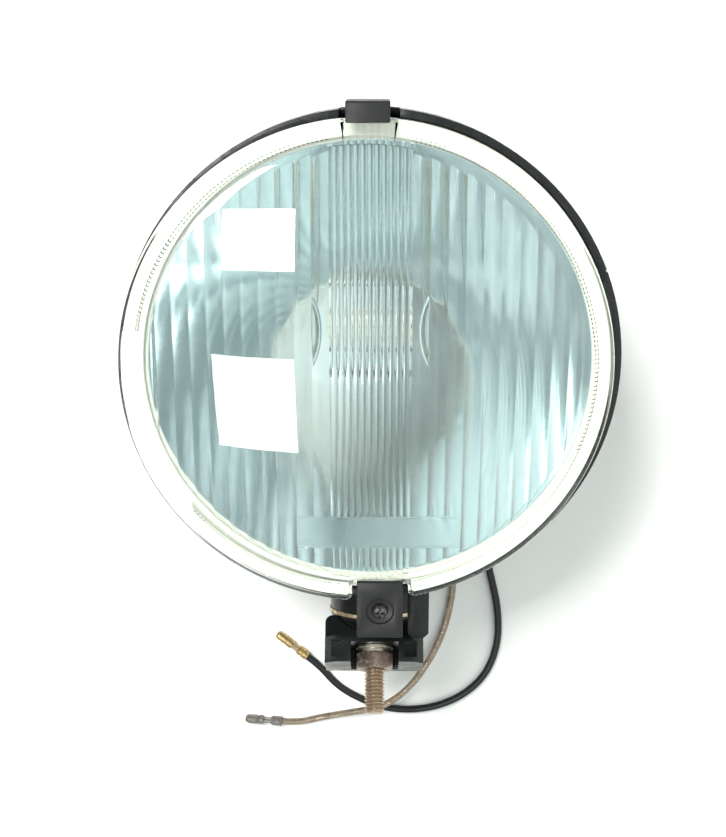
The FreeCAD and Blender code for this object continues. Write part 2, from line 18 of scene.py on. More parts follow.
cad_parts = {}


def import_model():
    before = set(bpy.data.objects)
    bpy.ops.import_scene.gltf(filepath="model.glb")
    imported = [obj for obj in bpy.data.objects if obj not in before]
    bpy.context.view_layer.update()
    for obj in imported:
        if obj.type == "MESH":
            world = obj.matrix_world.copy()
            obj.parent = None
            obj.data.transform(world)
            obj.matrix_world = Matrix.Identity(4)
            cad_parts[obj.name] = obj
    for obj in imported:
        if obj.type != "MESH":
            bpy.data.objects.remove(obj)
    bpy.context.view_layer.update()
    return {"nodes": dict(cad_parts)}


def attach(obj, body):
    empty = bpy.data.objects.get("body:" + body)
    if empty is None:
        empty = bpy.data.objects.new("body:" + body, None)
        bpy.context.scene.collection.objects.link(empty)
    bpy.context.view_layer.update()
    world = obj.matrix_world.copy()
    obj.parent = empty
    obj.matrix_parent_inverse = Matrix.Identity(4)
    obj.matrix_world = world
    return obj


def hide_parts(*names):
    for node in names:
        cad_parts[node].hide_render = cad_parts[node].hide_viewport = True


log = logging.getLogger("fog_light")

MM = 0.001
UP = Vector((0.0, 0.0, 1.0))
WELD = 2e-6
FLAT_ANGLE = math.radians(0.6)

Point = tuple[float, float, float]
Pair = tuple[float, float]
Outline = Sequence[Pair]
Stops = Sequence[tuple[float, Point]]
Socket = bpy.types.NodeSocket


# ---------------------------------------------------------------- mesh tools


def linked(name: str, data: bpy.types.ID) -> bpy.types.Object:
    """Links a new object that holds a mesh, curve, lamp or camera.

    Args:
        name: The object's name.
        data: What it holds.

    Returns:
        The linked object.
    """
    piece = bpy.data.objects.new(name, data)
    bpy.context.scene.collection.objects.link(piece)
    return piece


def link_mesh(
    name: str,
    vertices: Sequence[Sequence[float]],
    faces: Sequence[Sequence[int]],
    sharp: float = 35.0,
) -> bpy.types.Object:
    """Makes a smooth-shaded mesh object from vertices in millimetres.

    Args:
        name: The piece's name.
        vertices: Points in millimetres.
        faces: Vertex numbers of each face.
        sharp: Angle in degrees from which an edge stays sharp.

    Returns:
        The linked object, in metres.
    """
    mesh = bpy.data.meshes.new(name)
    mesh.from_pydata([tuple(float(c) * MM for c in v) for v in vertices], [], [tuple(f) for f in faces])
    form = bmesh.new()
    form.from_mesh(mesh)
    bmesh.ops.remove_doubles(form, verts=form.verts, dist=1e-6)
    bmesh.ops.dissolve_degenerate(form, edges=form.edges, dist=1e-7)
    bmesh.ops.recalc_face_normals(form, faces=form.faces)
    form.to_mesh(mesh)
    form.free()
    return finish_mesh(name, mesh, sharp)


def finish_mesh(name: str, mesh: bpy.types.Mesh, sharp: float) -> bpy.types.Object:
    """Shades a mesh smooth apart from its sharp edges and links an object that holds it.

    Args:
        name: The piece's name.
        mesh: The mesh in metres.
        sharp: Angle in degrees from which an edge stays sharp.

    Returns:
        The linked object.
    """
    mesh.polygons.foreach_set("use_smooth", [True] * len(mesh.polygons))
    mesh.set_sharp_from_angle(angle=math.radians(sharp))
    return linked(name, mesh)


def band_faces(count: int, width: int, closed_rows: bool = False) -> list[tuple[int, int, int, int]]:
    """Quads between successive closed loops of vertices.

    Args:
        count: Number of loops.
        width: Vertices in each loop.
        closed_rows: Whether the last loop joins the first.

    Returns:
        The faces as vertex numbers.
    """
    faces = []
    for row in range(count if closed_rows else count - 1):
        low, high = row * width, ((row + 1) % count) * width
        for i in range(width):
            j = (i + 1) % width
            faces.append((low + i, low + j, high + j, high + i))
    return faces


def placed(points: np.ndarray, origin: Point, direction: Vector) -> np.ndarray:
    """Turns points from about +Z to a direction and moves them to an origin.

    Args:
        points: Points about the local Z axis.
        origin: Where the local origin goes.
        direction: Where the local Z axis points.

    Returns:
        The moved points.
    """
    turn = np.array(UP.rotation_difference(direction).to_matrix())
    return points @ turn.T + np.array(origin, float)


def turned(
    name: str,
    outline: Outline,
    origin: Point = (0.0, 0.0, 0.0),
    direction: Vector = UP,
    steps: int = 96,
    sharp: float = 35.0,
    closed: bool = False,
) -> bpy.types.Object:
    """A turned piece from an outline of (radius, height) pairs in millimetres.

    Args:
        name: The piece's name.
        outline: The outline, in order along the surface.
        origin: Foot of the axis in millimetres.
        direction: Direction of the axis.
        steps: Segments round the axis.
        sharp: Angle in degrees from which an edge stays sharp.
        closed: Whether the outline runs back to its start.

    Returns:
        The linked object.
    """
    angles = np.arange(steps) * 2 * math.pi / steps
    loops = [np.stack([r * np.cos(angles), r * np.sin(angles), np.full(steps, z)], 1) for r, z in outline]
    points = placed(np.concatenate(loops), origin, direction)
    return link_mesh(name, points, band_faces(len(outline), steps, closed), sharp)


def polar_solid(
    name: str,
    radius_at: Callable[[float, float], float],
    heights: Sequence[float],
    angles: Sequence[float],
    origin: Point,
    direction: Vector,
    bore: float = 0.0,
    sharp: float = 30.0,
) -> bpy.types.Object:
    """A solid whose radius is a function of angle and height, such as a thread or a hexagon.

    Args:
        name: The piece's name.
        radius_at: Radius in millimetres at an angle in radians and a height in millimetres.
        heights: Heights of the loops, from one end to the other.
        angles: Angles of the vertices in each loop.
        origin: Foot of the axis in millimetres.
        direction: Direction of the axis.
        bore: Radius of a hole through the middle, or nought.
        sharp: Angle in degrees from which an edge stays sharp.

    Returns:
        The linked object.
    """
    cos, sin = np.cos(angles), np.sin(angles)
    ends = [(bore, heights[0]), *[(None, h) for h in heights], (bore, heights[-1])]
    loops = []
    for fixed, height in ends:
        radii = np.array([radius_at(a, height) if fixed is None else fixed for a in angles])
        loops.append(np.stack([radii * cos, radii * sin, np.full(len(radii), height)], 1))
    points = placed(np.concatenate(loops), origin, direction)
    return link_mesh(name, points, band_faces(len(loops), len(cos), bore > 0), sharp)


def joined(name: str, pieces: Sequence[bpy.types.Object]) -> bpy.types.Object:
    """Joins mesh objects into the first one.

    Args:
        name: Name of the joined piece.
        pieces: Mesh objects, all at the origin.

    Returns:
        The joined object.
    """
    form = bmesh.new()
    for piece in pieces:
        form.from_mesh(piece.data)
    mesh = bpy.data.meshes.new(name)
    form.to_mesh(mesh)
    form.free()
    for piece in pieces:
        bpy.data.objects.remove(piece)
    return finish_mesh(name, mesh, 32.0)


def softened(node: bpy.types.Object, name: str, radius: float, sharp: float = 28.0) -> bpy.types.Object:
    """A copy of a frame node with its sharp edges rounded.

    Args:
        node: The frame's node.
        name: The new piece's name.
        radius: Width of the rounding in millimetres.
        sharp: Angle in degrees from which an edge is rounded.

    Returns:
        The linked object.
    """
    form = bmesh.new()
    form.from_mesh(node.data)
    bmesh.ops.remove_doubles(form, verts=form.verts, dist=WELD)
    bmesh.ops.dissolve_limit(form, angle_limit=FLAT_ANGLE, verts=form.verts, edges=form.edges)
    edges = [e for e in form.edges if e.is_manifold and e.calc_face_angle(0.0) > math.radians(sharp)]
    bmesh.ops.bevel(
        form, geom=edges, offset=radius * MM, segments=3, profile=0.5, affect="EDGES", clamp_overlap=True
    )
    bmesh.ops.triangulate(form, faces=[f for f in form.faces if len(f.verts) > 4])
    mesh = bpy.data.meshes.new(name)
    form.to_mesh(mesh)
    form.free()
    return finish_mesh(name, mesh, sharp)


def wave(value: float) -> float:
    """A rounded thread form, from nought in the root to one on the crest, for a share of the pitch."""
    rise = 1.0 - abs(2.0 * (value % 1.0) - 1.0)
    return min(1.0, max(0.0, 1.25 * rise - 0.08))


# ---------------------------------------------------------------- finishes


def set_stops(ramp: bpy.types.Node, stops: Stops) -> None:
    """Sets the stops of a colour ramp.

    Args:
        ramp: The ramp's node.
        stops: Place and colour of each stop.
    """
    bar = ramp.color_ramp.elements
    while len(bar) < len(stops):
        bar.new(0.5)
    for element, (place, colour) in zip(bar, stops):
        element.position = place
        element.color = (*colour, 1.0)


class Graph:
    """A material's node tree, put together one node at a time."""

    def __init__(self, name: str) -> None:
        """Starts a material with a Principled shader.

        Args:
            name: The material's name.
        """
        self.material = bpy.data.materials.new(name)
        self.material.use_nodes = True
        self.tree = self.material.node_tree
        self.tree.nodes.clear()
        self.output = self.add("ShaderNodeOutputMaterial")
        self.shader = self.add("ShaderNodeBsdfPrincipled")
        self.link(self.shader.outputs["BSDF"], self.output.inputs["Surface"])

    def add(self, kind: str, **values: object) -> bpy.types.Node:
        """Adds a node.

        Args:
            kind: The node's type.
            values: Values of its inputs, with underscores for spaces.

        Returns:
            The new node.
        """
        node = self.tree.nodes.new(kind)
        for key, value in values.items():
            node.inputs[key.replace("_", " ")].default_value = value
        return node

    def link(self, source: Socket, target: Socket) -> None:
        """Links two sockets."""
        self.tree.links.new(source, target)

    def colour(self, value: Socket, stops: Stops) -> None:
        """Colours the shader with a ramp.

        Args:
            value: What drives the ramp.
            stops: Place and colour of each stop.
        """
        self.link(self.ramp(value, stops), self.shader.inputs["Base Color"])

    def noise(self, grain: float, detail: float = 3.0, rough: float = 0.55) -> Socket:
        """Noise over the object's own coordinates.

        Args:
            grain: Size of a feature in millimetres.
            detail: Number of finer layers.
            rough: Weight of the finer layers.

        Returns:
            The noise's value.
        """
        place = self.add("ShaderNodeTexCoord")
        noise = self.add("ShaderNodeTexNoise", Scale=1.0 / (grain * MM), Detail=detail, Roughness=rough)
        self.link(place.outputs["Object"], noise.inputs["Vector"])
        return noise.outputs["Fac"]

    def ramp(self, value: Socket, stops: Stops) -> Socket:
        """A colour ramp.

        Args:
            value: What drives the ramp.
            stops: Place and colour of each stop.

        Returns:
            The ramp's colour.
        """
        ramp = self.add("ShaderNodeValToRGB")
        set_stops(ramp, stops)
        self.link(value, ramp.inputs["Fac"])
        return ramp.outputs["Color"]

    def grey(self, value: Socket, low: float, high: float, span: Pair = (0.35, 0.65)) -> Socket:
        """Maps a noise value to a plain number.

        Args:
            value: What drives it.
            low: Result at the low end.
            high: Result at the high end.
            span: Noise values of both ends.

        Returns:
            The mapped value.
        """
        scale = self.add("ShaderNodeMapRange")
        for socket, number in zip(("From Min", "From Max", "To Min", "To Max"), (*span, low, high)):
            scale.inputs[socket].default_value = number
        self.link(value, scale.inputs["Value"])
        return scale.outputs["Result"]

    def bump(self, height: Socket, depth: float, strength: float) -> None:
        """Adds bump to the shader.

        Args:
            height: The height's value.
            depth: Depth in millimetres.
            strength: Strength of the bump.
        """
        bump = self.add("ShaderNodeBump", Strength=strength, Distance=depth * MM)
        self.link(height, bump.inputs["Height"])
        self.link(bump.outputs["Normal"], self.shader.inputs["Normal"])

    def let_lamps_through(self, tint: Sequence[float]) -> None:
        """Makes shadow rays pass through a clear body.

        Args:
            tint: Colour of the light that passes.
        """
        path = self.add("ShaderNodeLightPath")
        clear = self.add("ShaderNodeBsdfTransparent", Color=(*tint, 1.0))
        mix = self.add("ShaderNodeMixShader")
        self.link(path.outputs["Is Shadow Ray"], mix.inputs["Fac"])
        self.link(self.shader.outputs["BSDF"], mix.inputs[1])
        self.link(clear.outputs["BSDF"], mix.inputs[2])
        self.link(mix.outputs["Shader"], self.output.inputs["Surface"])


@dataclass(frozen=True)
class Moulded:
    """Moulded plastic or rubber with a fine grain, handling marks and dust."""

    name: str
    colour: Sequence[float]
    dust: Sequence[float]
    shine: Pair = (0.22, 0.42)
    grain: float = 0.35
    depth: float = 0.02
    gleam: float = 0.34

    def material(self) -> bpy.types.Material:
        """The finish as a material.

        Returns:
            The material.
        """
        graph = Graph(self.name)
        cloud = graph.noise(9.0, 5.0, 0.65)
        speck = graph.noise(self.grain, 2.0)
        graph.colour(cloud, ((0.3, self.colour), (0.62, self.colour), (0.86, self.dust)))
        graph.link(graph.grey(cloud, *self.shine), graph.shader.inputs["Roughness"])
        graph.shader.inputs["Specular IOR Level"].default_value = self.gleam
        graph.bump(speck, self.depth, 0.35)
        return graph.material


@dataclass(frozen=True)
class Plated:
    """Plated or bare metal with worn, stained and rusty patches."""

    name: str
    colour: Sequence[float]
    stain: Sequence[float]
    rust: Sequence[float]
    amount: float = 0.3
    polish: float = 0.18
    patch: float = 2.5

    def material(self) -> bpy.types.Material:
        """The finish as a material.

        Returns:
            The material.
        """
        graph = Graph(self.name)
        patch = graph.noise(self.patch, 6.0, 0.7)
        start = 0.72 - 0.45 * self.amount
        end = start + 0.1
        full = min(start + 0.12, 0.98)
        graph.colour(patch, ((start - 0.14, self.colour), (start, self.stain), (full, self.rust)))
        graph.link(graph.grey(patch, 1.0, 0.25, (start, end)), graph.shader.inputs["Metallic"])
        rough = graph.grey(patch, self.polish, 0.75, (start - 0.25, end))
        graph.link(rough, graph.shader.inputs["Roughness"])
        graph.bump(graph.noise(0.3, 4.0, 0.7), 0.05, 0.3 + 0.4 * self.amount)
        return graph.material


@dataclass(frozen=True)
class Clear:
    """Clear glass or plastic that lets lamps through."""

    name: str
    tint: Sequence[float]
    index: float = 1.5
    roughness: float = 0.0
    depth: float = 0.01

    def material(self) -> bpy.types.Material:
        """The finish as a material.

        Returns:
            The material.
        """
        graph = Graph(self.name)
        graph.shader.inputs["Transmission Weight"].default_value = 1.0
        graph.shader.inputs["IOR"].default_value = self.index
        graph.shader.inputs["Roughness"].default_value = self.roughness
        shade = tuple(0.985 * c for c in self.tint)
        graph.colour(graph.noise(14.0, 2.0), ((0.35, self.tint), (0.7, shade)))
        graph.bump(graph.noise(7.0, 1.0), self.depth, 0.15)
        graph.let_lamps_through(self.tint)
        return graph.material


@dataclass(frozen=True)
class MirrorCoat:
    """Vacuum-coated mirror with a slight haze and ripple."""

    name: str
    colour: Sequence[float]
    haze: Sequence[float]

    def material(self) -> bpy.types.Material:
        """The finish as a material.

        Returns:
            The material.
        """
        graph = Graph(self.name)
        graph.shader.inputs["Metallic"].default_value = 1.0
        cloud = graph.noise(22.0, 4.0, 0.6)
        graph.colour(cloud, ((0.35, self.colour), (0.75, self.haze)))
        graph.link(graph.grey(cloud, 0.05, 0.16), graph.shader.inputs["Roughness"])
        graph.bump(graph.noise(11.0, 1.0), 0.06, 0.25)
        return graph.material


BLACK_PLASTIC = Moulded("black_moulded_plastic", (0.006, 0.0065, 0.007), (0.02, 0.021, 0.02), (0.2, 0.38))
FOOT_PLASTIC = Moulded("foot_plastic", (0.006, 0.008, 0.008), (0.022, 0.026, 0.025), (0.2, 0.36))
BLACK_ENAMEL = Moulded("black_enamel", (0.01, 0.0105, 0.0105), (0.022, 0.022, 0.021), (0.36, 0.54), 0.6, 0.03)
DULL_PLASTIC = Moulded("connector_plastic", (0.03, 0.03, 0.03), (0.07, 0.07, 0.065), (0.4, 0.6))
RUBBER = Moulded("grommet_rubber", (0.015, 0.015, 0.016), (0.05, 0.05, 0.048), (0.55, 0.75), 0.5, 0.03)
SEAL = Moulded("pale_seal", (0.54, 0.54, 0.48), (0.44, 0.43, 0.34), (0.6, 0.8), 0.8, 0.05)
# Pale matte finish for the sheet under the lens flange: its paleness is painted reflection, standing in for
# bright light seen in the glass rim.
PAINTED_REFLECTION_COAT = Moulded("painted_reflection_finish", (0.5, 0.51, 0.46), (0.42, 0.42, 0.36), (0.4, 0.6), 0.8, 0.03)
BLACK_PVC = Moulded("black_pvc", (0.008, 0.0085, 0.0095), (0.022, 0.022, 0.022), (0.32, 0.48), 0.9, 0.02)
FADED_PAINT = Moulded("faded_red_paint", (0.3, 0.05, 0.055), (0.16, 0.06, 0.055), (0.5, 0.8), 0.5, 0.08)
LENS_GLASS = Clear("lens_glass", (0.965, 0.99, 0.98), 1.5, 0.0)
BULB_GLASS = Clear("bulb_glass", (0.98, 0.985, 0.97), 1.47, 0.0)
CLEAR_PVC = Clear("clear_pvc", (0.84, 0.82, 0.77), 1.4, 0.06, 0.03)
COATING = MirrorCoat("reflector_coating", (0.68, 0.77, 0.78), (0.75, 0.82, 0.83))
RUSTY_ZINC = Plated(
    "rusty_yellow_zinc", (0.5, 0.41, 0.31), (0.4, 0.3, 0.21), (0.24, 0.14, 0.09),
    0.34, 0.22, 1.8,
)
NUT_RUST = Plated("rusty_nut_zinc", (0.42, 0.36, 0.33), (0.32, 0.24, 0.2), (0.2, 0.12, 0.1), 0.4, 0.16, 2.4)
BRIGHT_ZINC = Plated(
    "bright_zinc", (0.72, 0.7, 0.64), (0.5, 0.44, 0.34), (0.26, 0.15, 0.09),
    0.3, 0.18, 2.2,
)
RING_STEEL = Plated(
    "worn_brassy_steel", (0.7, 0.6, 0.42), (0.42, 0.32, 0.2), (0.2, 0.12, 0.08),
    0.4, 0.22, 2.5,
)
SCREW_STEEL = Plated(
    "blackened_steel", (0.16, 0.16, 0.16), (0.05, 0.05, 0.05), (0.1, 0.06, 0.04),
    0.35, 0.2, 1.2,
)
BRASS = Plated("rolled_brass", (0.66, 0.5, 0.25), (0.46, 0.33, 0.15), (0.22, 0.15, 0.08), 0.3, 0.14, 1.6)
TIN = Plated("dull_tin", (0.4, 0.38, 0.36), (0.26, 0.24, 0.23), (0.15, 0.12, 0.1), 0.5, 0.35, 1.2)
COPPER = Plated(
    "tinned_copper_braid", (0.56, 0.47, 0.38), (0.42, 0.33, 0.25), (0.25, 0.17, 0.12),
    0.3, 0.22, 3.0,
)
TUNGSTEN = Plated("tungsten", (0.62, 0.52, 0.34), (0.4, 0.34, 0.26), (0.2, 0.18, 0.15), 0.1)

Finish = Moulded | Plated | Clear | MirrorCoat

_made: dict[str, bpy.types.Material] = {}


def finish_of(finish: Finish) -> bpy.types.Material:
    """The material of a finish, made once.

    Args:
        finish: The finish.

    Returns:
        Its material.
    """
    if finish.name not in _made:
        _made[finish.name] = finish.material()
    return _made[finish.name]


class Body(Enum):
    """The frame's bodies that pieces ride on."""

    LAMP = "lamp"
    CLAMP = "clamp"
    SCREW = "clamp_screw"
    BOLT = "bolt"
    FOOT = "foot"
    WASHERS = "washers"
    NUT = "nut"


def fit(
    piece: bpy.types.Object,
    finish: Finish,
    body: Body,
    replaced: Sequence[str] = (),
) -> None:
    """Dresses a piece and puts it on its body.

    Args:
        piece: The new piece.
        finish: Its finish.
        body: The body that it rides on.
        replaced: Frame nodes that it stands for.
    """
    piece.data.materials.clear()
    piece.data.materials.append(finish_of(finish))
    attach(piece, body.value)
    if replaced:
        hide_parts(*replaced)
    log.info("piece %s on %s", piece.name, body.value)


def dress_node(node: bpy.types.Object, finish: Finish) -> None:
    """Gives a frame node that stays its finish.

    Args:
        node: The frame's node.
        finish: Its finish.
    """
    node.data.materials.clear()
    node.data.materials.append(finish_of(finish))
    log.info("node %s keeps its shape", node.name)


# ---------------------------------------------------------------- studio


class Shows(Enum):
    """Where a lamp's light shows."""

    MATT = "lights matt surfaces"
    SURFACE = "reflects in outer surfaces"
    THROUGH_GLASS = "reflects in what is behind glass"


@dataclass
class Studio:
    """Camera, pale table and soft lights."""

    lens: float = 52.28
    place: Point = (0.0022, 0.1028, 0.4937)
    right: Point = (1.0, 0.0, -0.011)
    up: Point = (-0.003, 0.960, -0.281)
    back: Point = (0.011, 0.281, 0.960)
    table: float = 3.0
    ceiling: float = 1.5
    panels: Sequence[tuple[str, float, float, Pair, float]] = (
        ("panel_back", -0.436, 0.171, (0.302, 0.24), 32.0),
        ("panel_front", -0.468, -0.505, (0.35, 0.42), 0.62 * 32.0),
    )
    panel_white: Point = (1.0, 0.99, 0.97)
    key_place: Point = (-0.5, 0.85, 1.15)
    key_white: Point = (1.0, 0.985, 0.95)
    key_glow: float = 38.0
    window_place: Point = (0.5, 0.5, 1.3)
    window_white: Point = (0.9, 1.0, 1.0)
    window_glow: float = 4.0
    sky_glow: float = 1.7
    sky_rise: Stops = (
        (0.0, (0.42, 0.42, 0.37)),
        (0.45, (0.5, 0.5, 0.46)),
        (0.8, (0.66, 0.68, 0.66)),
        (1.0, (0.78, 0.82, 0.8)),
    )
    sky_side: Stops = ((0.06, (0.4, 0.43, 0.44)), (0.28, (1.2, 1.25, 1.25)))

    def build_camera(self) -> None:
        """Places the camera."""
        data = bpy.data.cameras.new("camera")
        data.lens = self.lens
        data.clip_start = 0.01
        camera = linked("camera", data)
        axes = Matrix((self.right, self.up, self.back)).transposed()
        camera.matrix_world = Matrix.Translation(self.place) @ axes.to_quaternion().to_matrix().to_4x4()
        bpy.context.scene.camera = camera

    def panel(
        self,
        name: str,
        centre: Point,
        size: Pair,
        glow: float,
        colour: Point,
        target: Point,
        shows: Shows,
    ) -> None:
        """Adds a rectangular lamp.

        Args:
            name: The lamp's name.
            centre: Its middle.
            size: Its width and depth.
            glow: Its radiance.
            colour: Its colour.
            target: The point that it faces.
            shows: Where its light shows.
        """
        data = bpy.data.lights.new(name, "AREA")
        data.shape = "RECTANGLE"
        data.size, data.size_y = size
        data.color = colour
        data.energy = glow * math.pi * size[0] * size[1]
        lamp = linked(name, data)
        lamp.location = centre
        lamp.visible_diffuse = shows is Shows.MATT
        lamp.visible_glossy = shows is Shows.SURFACE
        lamp.visible_transmission = shows is Shows.THROUGH_GLASS
        down = (Vector(target) - Vector(centre)).normalized()
        lamp.rotation_euler = down.to_track_quat("-Z", "Y").to_euler()

    def build_lights(self) -> None:
        """Hangs two ceiling panels, a soft key lamp and a window lamp, and lights the sky."""
        for name, x, y, size, glow in self.panels:
            self.panel(name, (x, y, self.ceiling), size, glow, self.panel_white, (x, y, 0.0), Shows.SURFACE)
        middle, glass = (0.0, 0.0, 0.0), (0.0, 0.0, 0.05)
        self.panel("key", self.key_place, (0.6, 0.5), self.key_glow, self.key_white, middle, Shows.MATT)
        place, glow, white = self.window_place, self.window_glow, self.window_white
        self.panel("window", place, (0.3, 0.34), glow, white, glass, Shows.THROUGH_GLASS)
        self.build_sky()

    def build_sky(self) -> None:
        """Lights the sky with a glow that rises upward and to the right."""
        world = bpy.data.worlds.new("studio_sky")
        bpy.context.scene.world = world
        world.use_nodes = True
        tree = world.node_tree
        tree.nodes.clear()
        place = tree.nodes.new("ShaderNodeTexCoord")
        split = tree.nodes.new("ShaderNodeSeparateXYZ")
        blend = tree.nodes.new("ShaderNodeVectorMath")
        blend.operation = "MULTIPLY"
        glow = tree.nodes.new("ShaderNodeBackground")
        out = tree.nodes.new("ShaderNodeOutputWorld")
        tree.links.new(place.outputs["Generated"], split.inputs["Vector"])
        for axis, slot, stops in (("Z", 0, self.sky_rise), ("X", 1, self.sky_side)):
            ramp = tree.nodes.new("ShaderNodeValToRGB")
            set_stops(ramp, stops)
            tree.links.new(split.outputs[axis], ramp.inputs["Fac"])
            tree.links.new(ramp.outputs["Color"], blend.inputs[slot])
        glow.inputs["Strength"].default_value = self.sky_glow
        tree.links.new(blend.outputs["Vector"], glow.inputs["Color"])
        tree.links.new(glow.outputs["Background"], out.inputs["Surface"])

    def build_table(self) -> None:
        """Lays the pale table top just under the lamp."""
        half = self.table / 2
        corners = [(-half, -half, 0.0), (half, -half, 0.0), (half, half, 0.0), (-half, half, 0.0)]
        floor = link_mesh("table_top", [tuple(c / MM for c in p) for p in corners], [(0, 1, 2, 3)])
        floor.location.z = -0.02 * MM
        graph = Graph("pale_table")
        cloud = graph.noise(60.0, 3.0)
        graph.colour(cloud, ((0.3, (0.86, 0.855, 0.845)), (0.7, (0.9, 0.9, 0.9))))
        graph.link(graph.grey(cloud, 0.42, 0.6), graph.shader.inputs["Roughness"])
        floor.data.materials.append(graph.material)

    def build(self) -> None:
        """Builds the lights and the table."""
        self.build_lights()
        self.build_table()
        bpy.context.scene.view_settings.view_transform = "Standard"


# ---------------------------------------------------------------- leads


class Terminal(Enum):
    """The two makes of bullet terminal."""

    BRASS = "brass"
    TINNED = "tinned"


@dataclass
class Lead:
    """A flying lead with a bullet terminal.

    Its route, radius and length are in metres, and its braid and bullet are in millimetres.
    """

    name: str
    route: Sequence[Point]
    radius: float
    length: float
    clear: bool
    kind: Terminal
    braid_radius: float = 0.88
    strand_radius: float = 0.17
    braid_pitch: float = 8.5
    strands: int = 8
    bullet_radius: float = 1.97

    def curve(self, name: str, radius: float) -> bpy.types.Object:
        """A round smooth curve along the route.

        Args:
            name: The piece's name.
            radius: Its radius in metres.

        Returns:
            The linked curve.
        """
        data = bpy.data.curves.new(name, "CURVE")
        data.dimensions = "3D"
        data.resolution_u = 14
        data.bevel_depth = radius
        data.bevel_resolution = 6
        data.use_fill_caps = True
        spline = data.splines.new("NURBS")
        spline.points.add(len(self.route) - 1)
        for point, place in zip(spline.points, self.route):
            point.co = (*place, 1.0)
        spline.order_u = 3
        spline.use_endpoint_u = True
        return linked(name, data)

    def centre_line(self) -> list[Vector]:
        """Points of the smooth curve, read from the spline.

        Returns:
            The points in order.
        """
        probe = self.curve("probe", 0.0)
        graph = bpy.context.evaluated_depsgraph_get()
        mesh = bpy.data.meshes.new_from_object(probe.evaluated_get(graph))
        points = [v.co.copy() for v in mesh.vertices]
        bpy.data.meshes.remove(mesh)
        bpy.data.objects.remove(probe)
        return points

    def frames(self, points: Sequence[Vector]) -> list[tuple[Vector, Vector, Vector]]:
        """A steady pair of sideways directions at each point.

        Args:
            points: The centre line.

        Returns:
            Point, side and other side at each place.
        """
        frames = []
        side = Vector((0.0, 0.0, 1.0))
        for i, point in enumerate(points):
            ahead = (points[min(i + 1, len(points) - 1)] - points[max(i - 1, 0)]).normalized()
            side = (side - ahead * side.dot(ahead)).normalized()
            frames.append((point, side, ahead.cross(side)))
        return frames

    def braid(self) -> bpy.types.Object:
        """Braided conductor along the lead, with as many strands each way.

        Returns:
            The linked mesh.
        """
        radius, strand, pitch = self.braid_radius * MM, self.strand_radius * MM, self.braid_pitch * MM
        count = self.strands
        frames = self.frames(self.centre_line())
        reach = [0.0]
        for (a, _, _), (b, _, _) in zip(frames, frames[1:]):
            reach.append(reach[-1] + (b - a).length)
        step = pitch / 14
        data = bpy.data.curves.new(self.name + "_braid", "CURVE")
        data.dimensions = "3D"
        data.bevel_depth = strand
        data.bevel_resolution = 1
        places = np.arange(0.0, reach[-1], step)
        centre = [np.interp(places, reach, [f[0][k] for f in frames]) for k in range(3)]
        side = [np.interp(places, reach, [f[1][k] for f in frames]) for k in range(3)]
        other = [np.interp(places, reach, [f[2][k] for f in frames]) for k in range(3)]
        centre, side, other = np.array(centre), np.array(side), np.array(other)
        for way in (1, -1):
            for i in range(count):
                turn = way * 2 * math.pi * (places / pitch) + 2 * math.pi * i / count
                weave = count * 2 * math.pi * places / pitch + math.pi * (i + (way > 0))
                lift = radius + 0.35 * strand * np.cos(weave)
                points = centre + lift * (np.cos(turn) * side + np.sin(turn) * other)
                spline = data.splines.new("POLY")
                spline.points.add(len(places) - 1)
                spline.points.foreach_set("co", np.vstack([points, np.ones(len(places))]).T.ravel())
        rope = linked(self.name + "_braid", data)
        graph = bpy.context.evaluated_depsgraph_get()
        mesh = bpy.data.meshes.new_from_object(rope.evaluated_get(graph))
        bpy.data.objects.remove(rope)
        return finish_mesh(self.name + "_braid", mesh, 60.0)

    def terminal(self) -> bpy.types.Object:
        """The rolled terminal: crimp with ridges, twin neck strips and bullet.

        Returns:
            The linked mesh.
        """
        start, before = Vector(self.route[-1]), Vector(self.route[-2])
        along = (start - before).normalized()
        origin = tuple(start / MM)
        crimp = [(self.radius / MM * 0.98, 0.0)]
        for i in range(3):
            low = 0.25 + 1.6 * i
            crimp += [(2.15, low), (2.15, low + 0.75), (1.88, low + 1.0), (1.88, low + 1.4)]
        crimp += [(2.05, 4.9), (1.2, 5.0), (0.0, 5.0)]
        crimp.insert(0, (0.0, 0.0))
        parts = [turned(self.name + "_crimp", crimp, origin, along, 40)]
        neck = [(0.0, 4.6), (0.34, 4.6), (0.34, 8.8), (0.0, 8.8)]
        parts.append(turned(self.name + "_neck", neck, origin, along, 20))
        level = along.cross(UP).normalized()
        for way in (-1.0, 1.0):
            strip = [(0.0, 4.4), (0.32, 4.5), (0.26, 6.6), (0.32, 8.9), (0.0, 9.0)]
            parts.append(turned("strip", strip, tuple(start / MM + level * way * 1.15), along, 14))
        full = self.bullet_radius
        if self.kind is Terminal.BRASS:
            bullet = [(0.0, 8.4), (1.5, 8.4), (full, 8.7), (full, 11.9), (1.72, 12.1), (1.72, 12.6)]
            bullet += [(full, 12.8), (full, 15.6), (1.8, 16.5), (1.45, 16.68), (1.2, 16.4)]
            bullet += [(1.15, 13.5), (0.0, 13.5)]
        else:
            bullet = [(0.0, 8.4), (1.6, 8.4), (full, 8.7), (full, 10.4), (1.6, 10.7), (1.6, 11.1)]
            bullet += [(full, 11.5), (full, 14.6), (1.75, 15.8), (1.2, 16.5), (0.6, 16.69), (0.0, 16.69)]
        parts.append(turned(self.name + "_bullet", bullet, origin, along, 48))
        return joined(self.name + "_bullet_terminal", parts)

    def build(self) -> None:
        terminal = self.terminal()
        brass = self.kind is Terminal.BRASS
        metal, metal_slot = (BRASS, "brass_terminal") if brass else (TIN, "tinned_terminal")
        fit(terminal, metal, Body.LAMP, [self.name + "_terminal"])
        sheath = self.curve(self.name + "_sheath", self.radius)
        if self.clear:
            braid = self.braid()
            fit(braid, COPPER, Body.LAMP)
            fit(sheath, CLEAR_PVC, Body.LAMP, [self.name])
        else:
            fit(sheath, BLACK_PVC, Body.LAMP, [self.name])


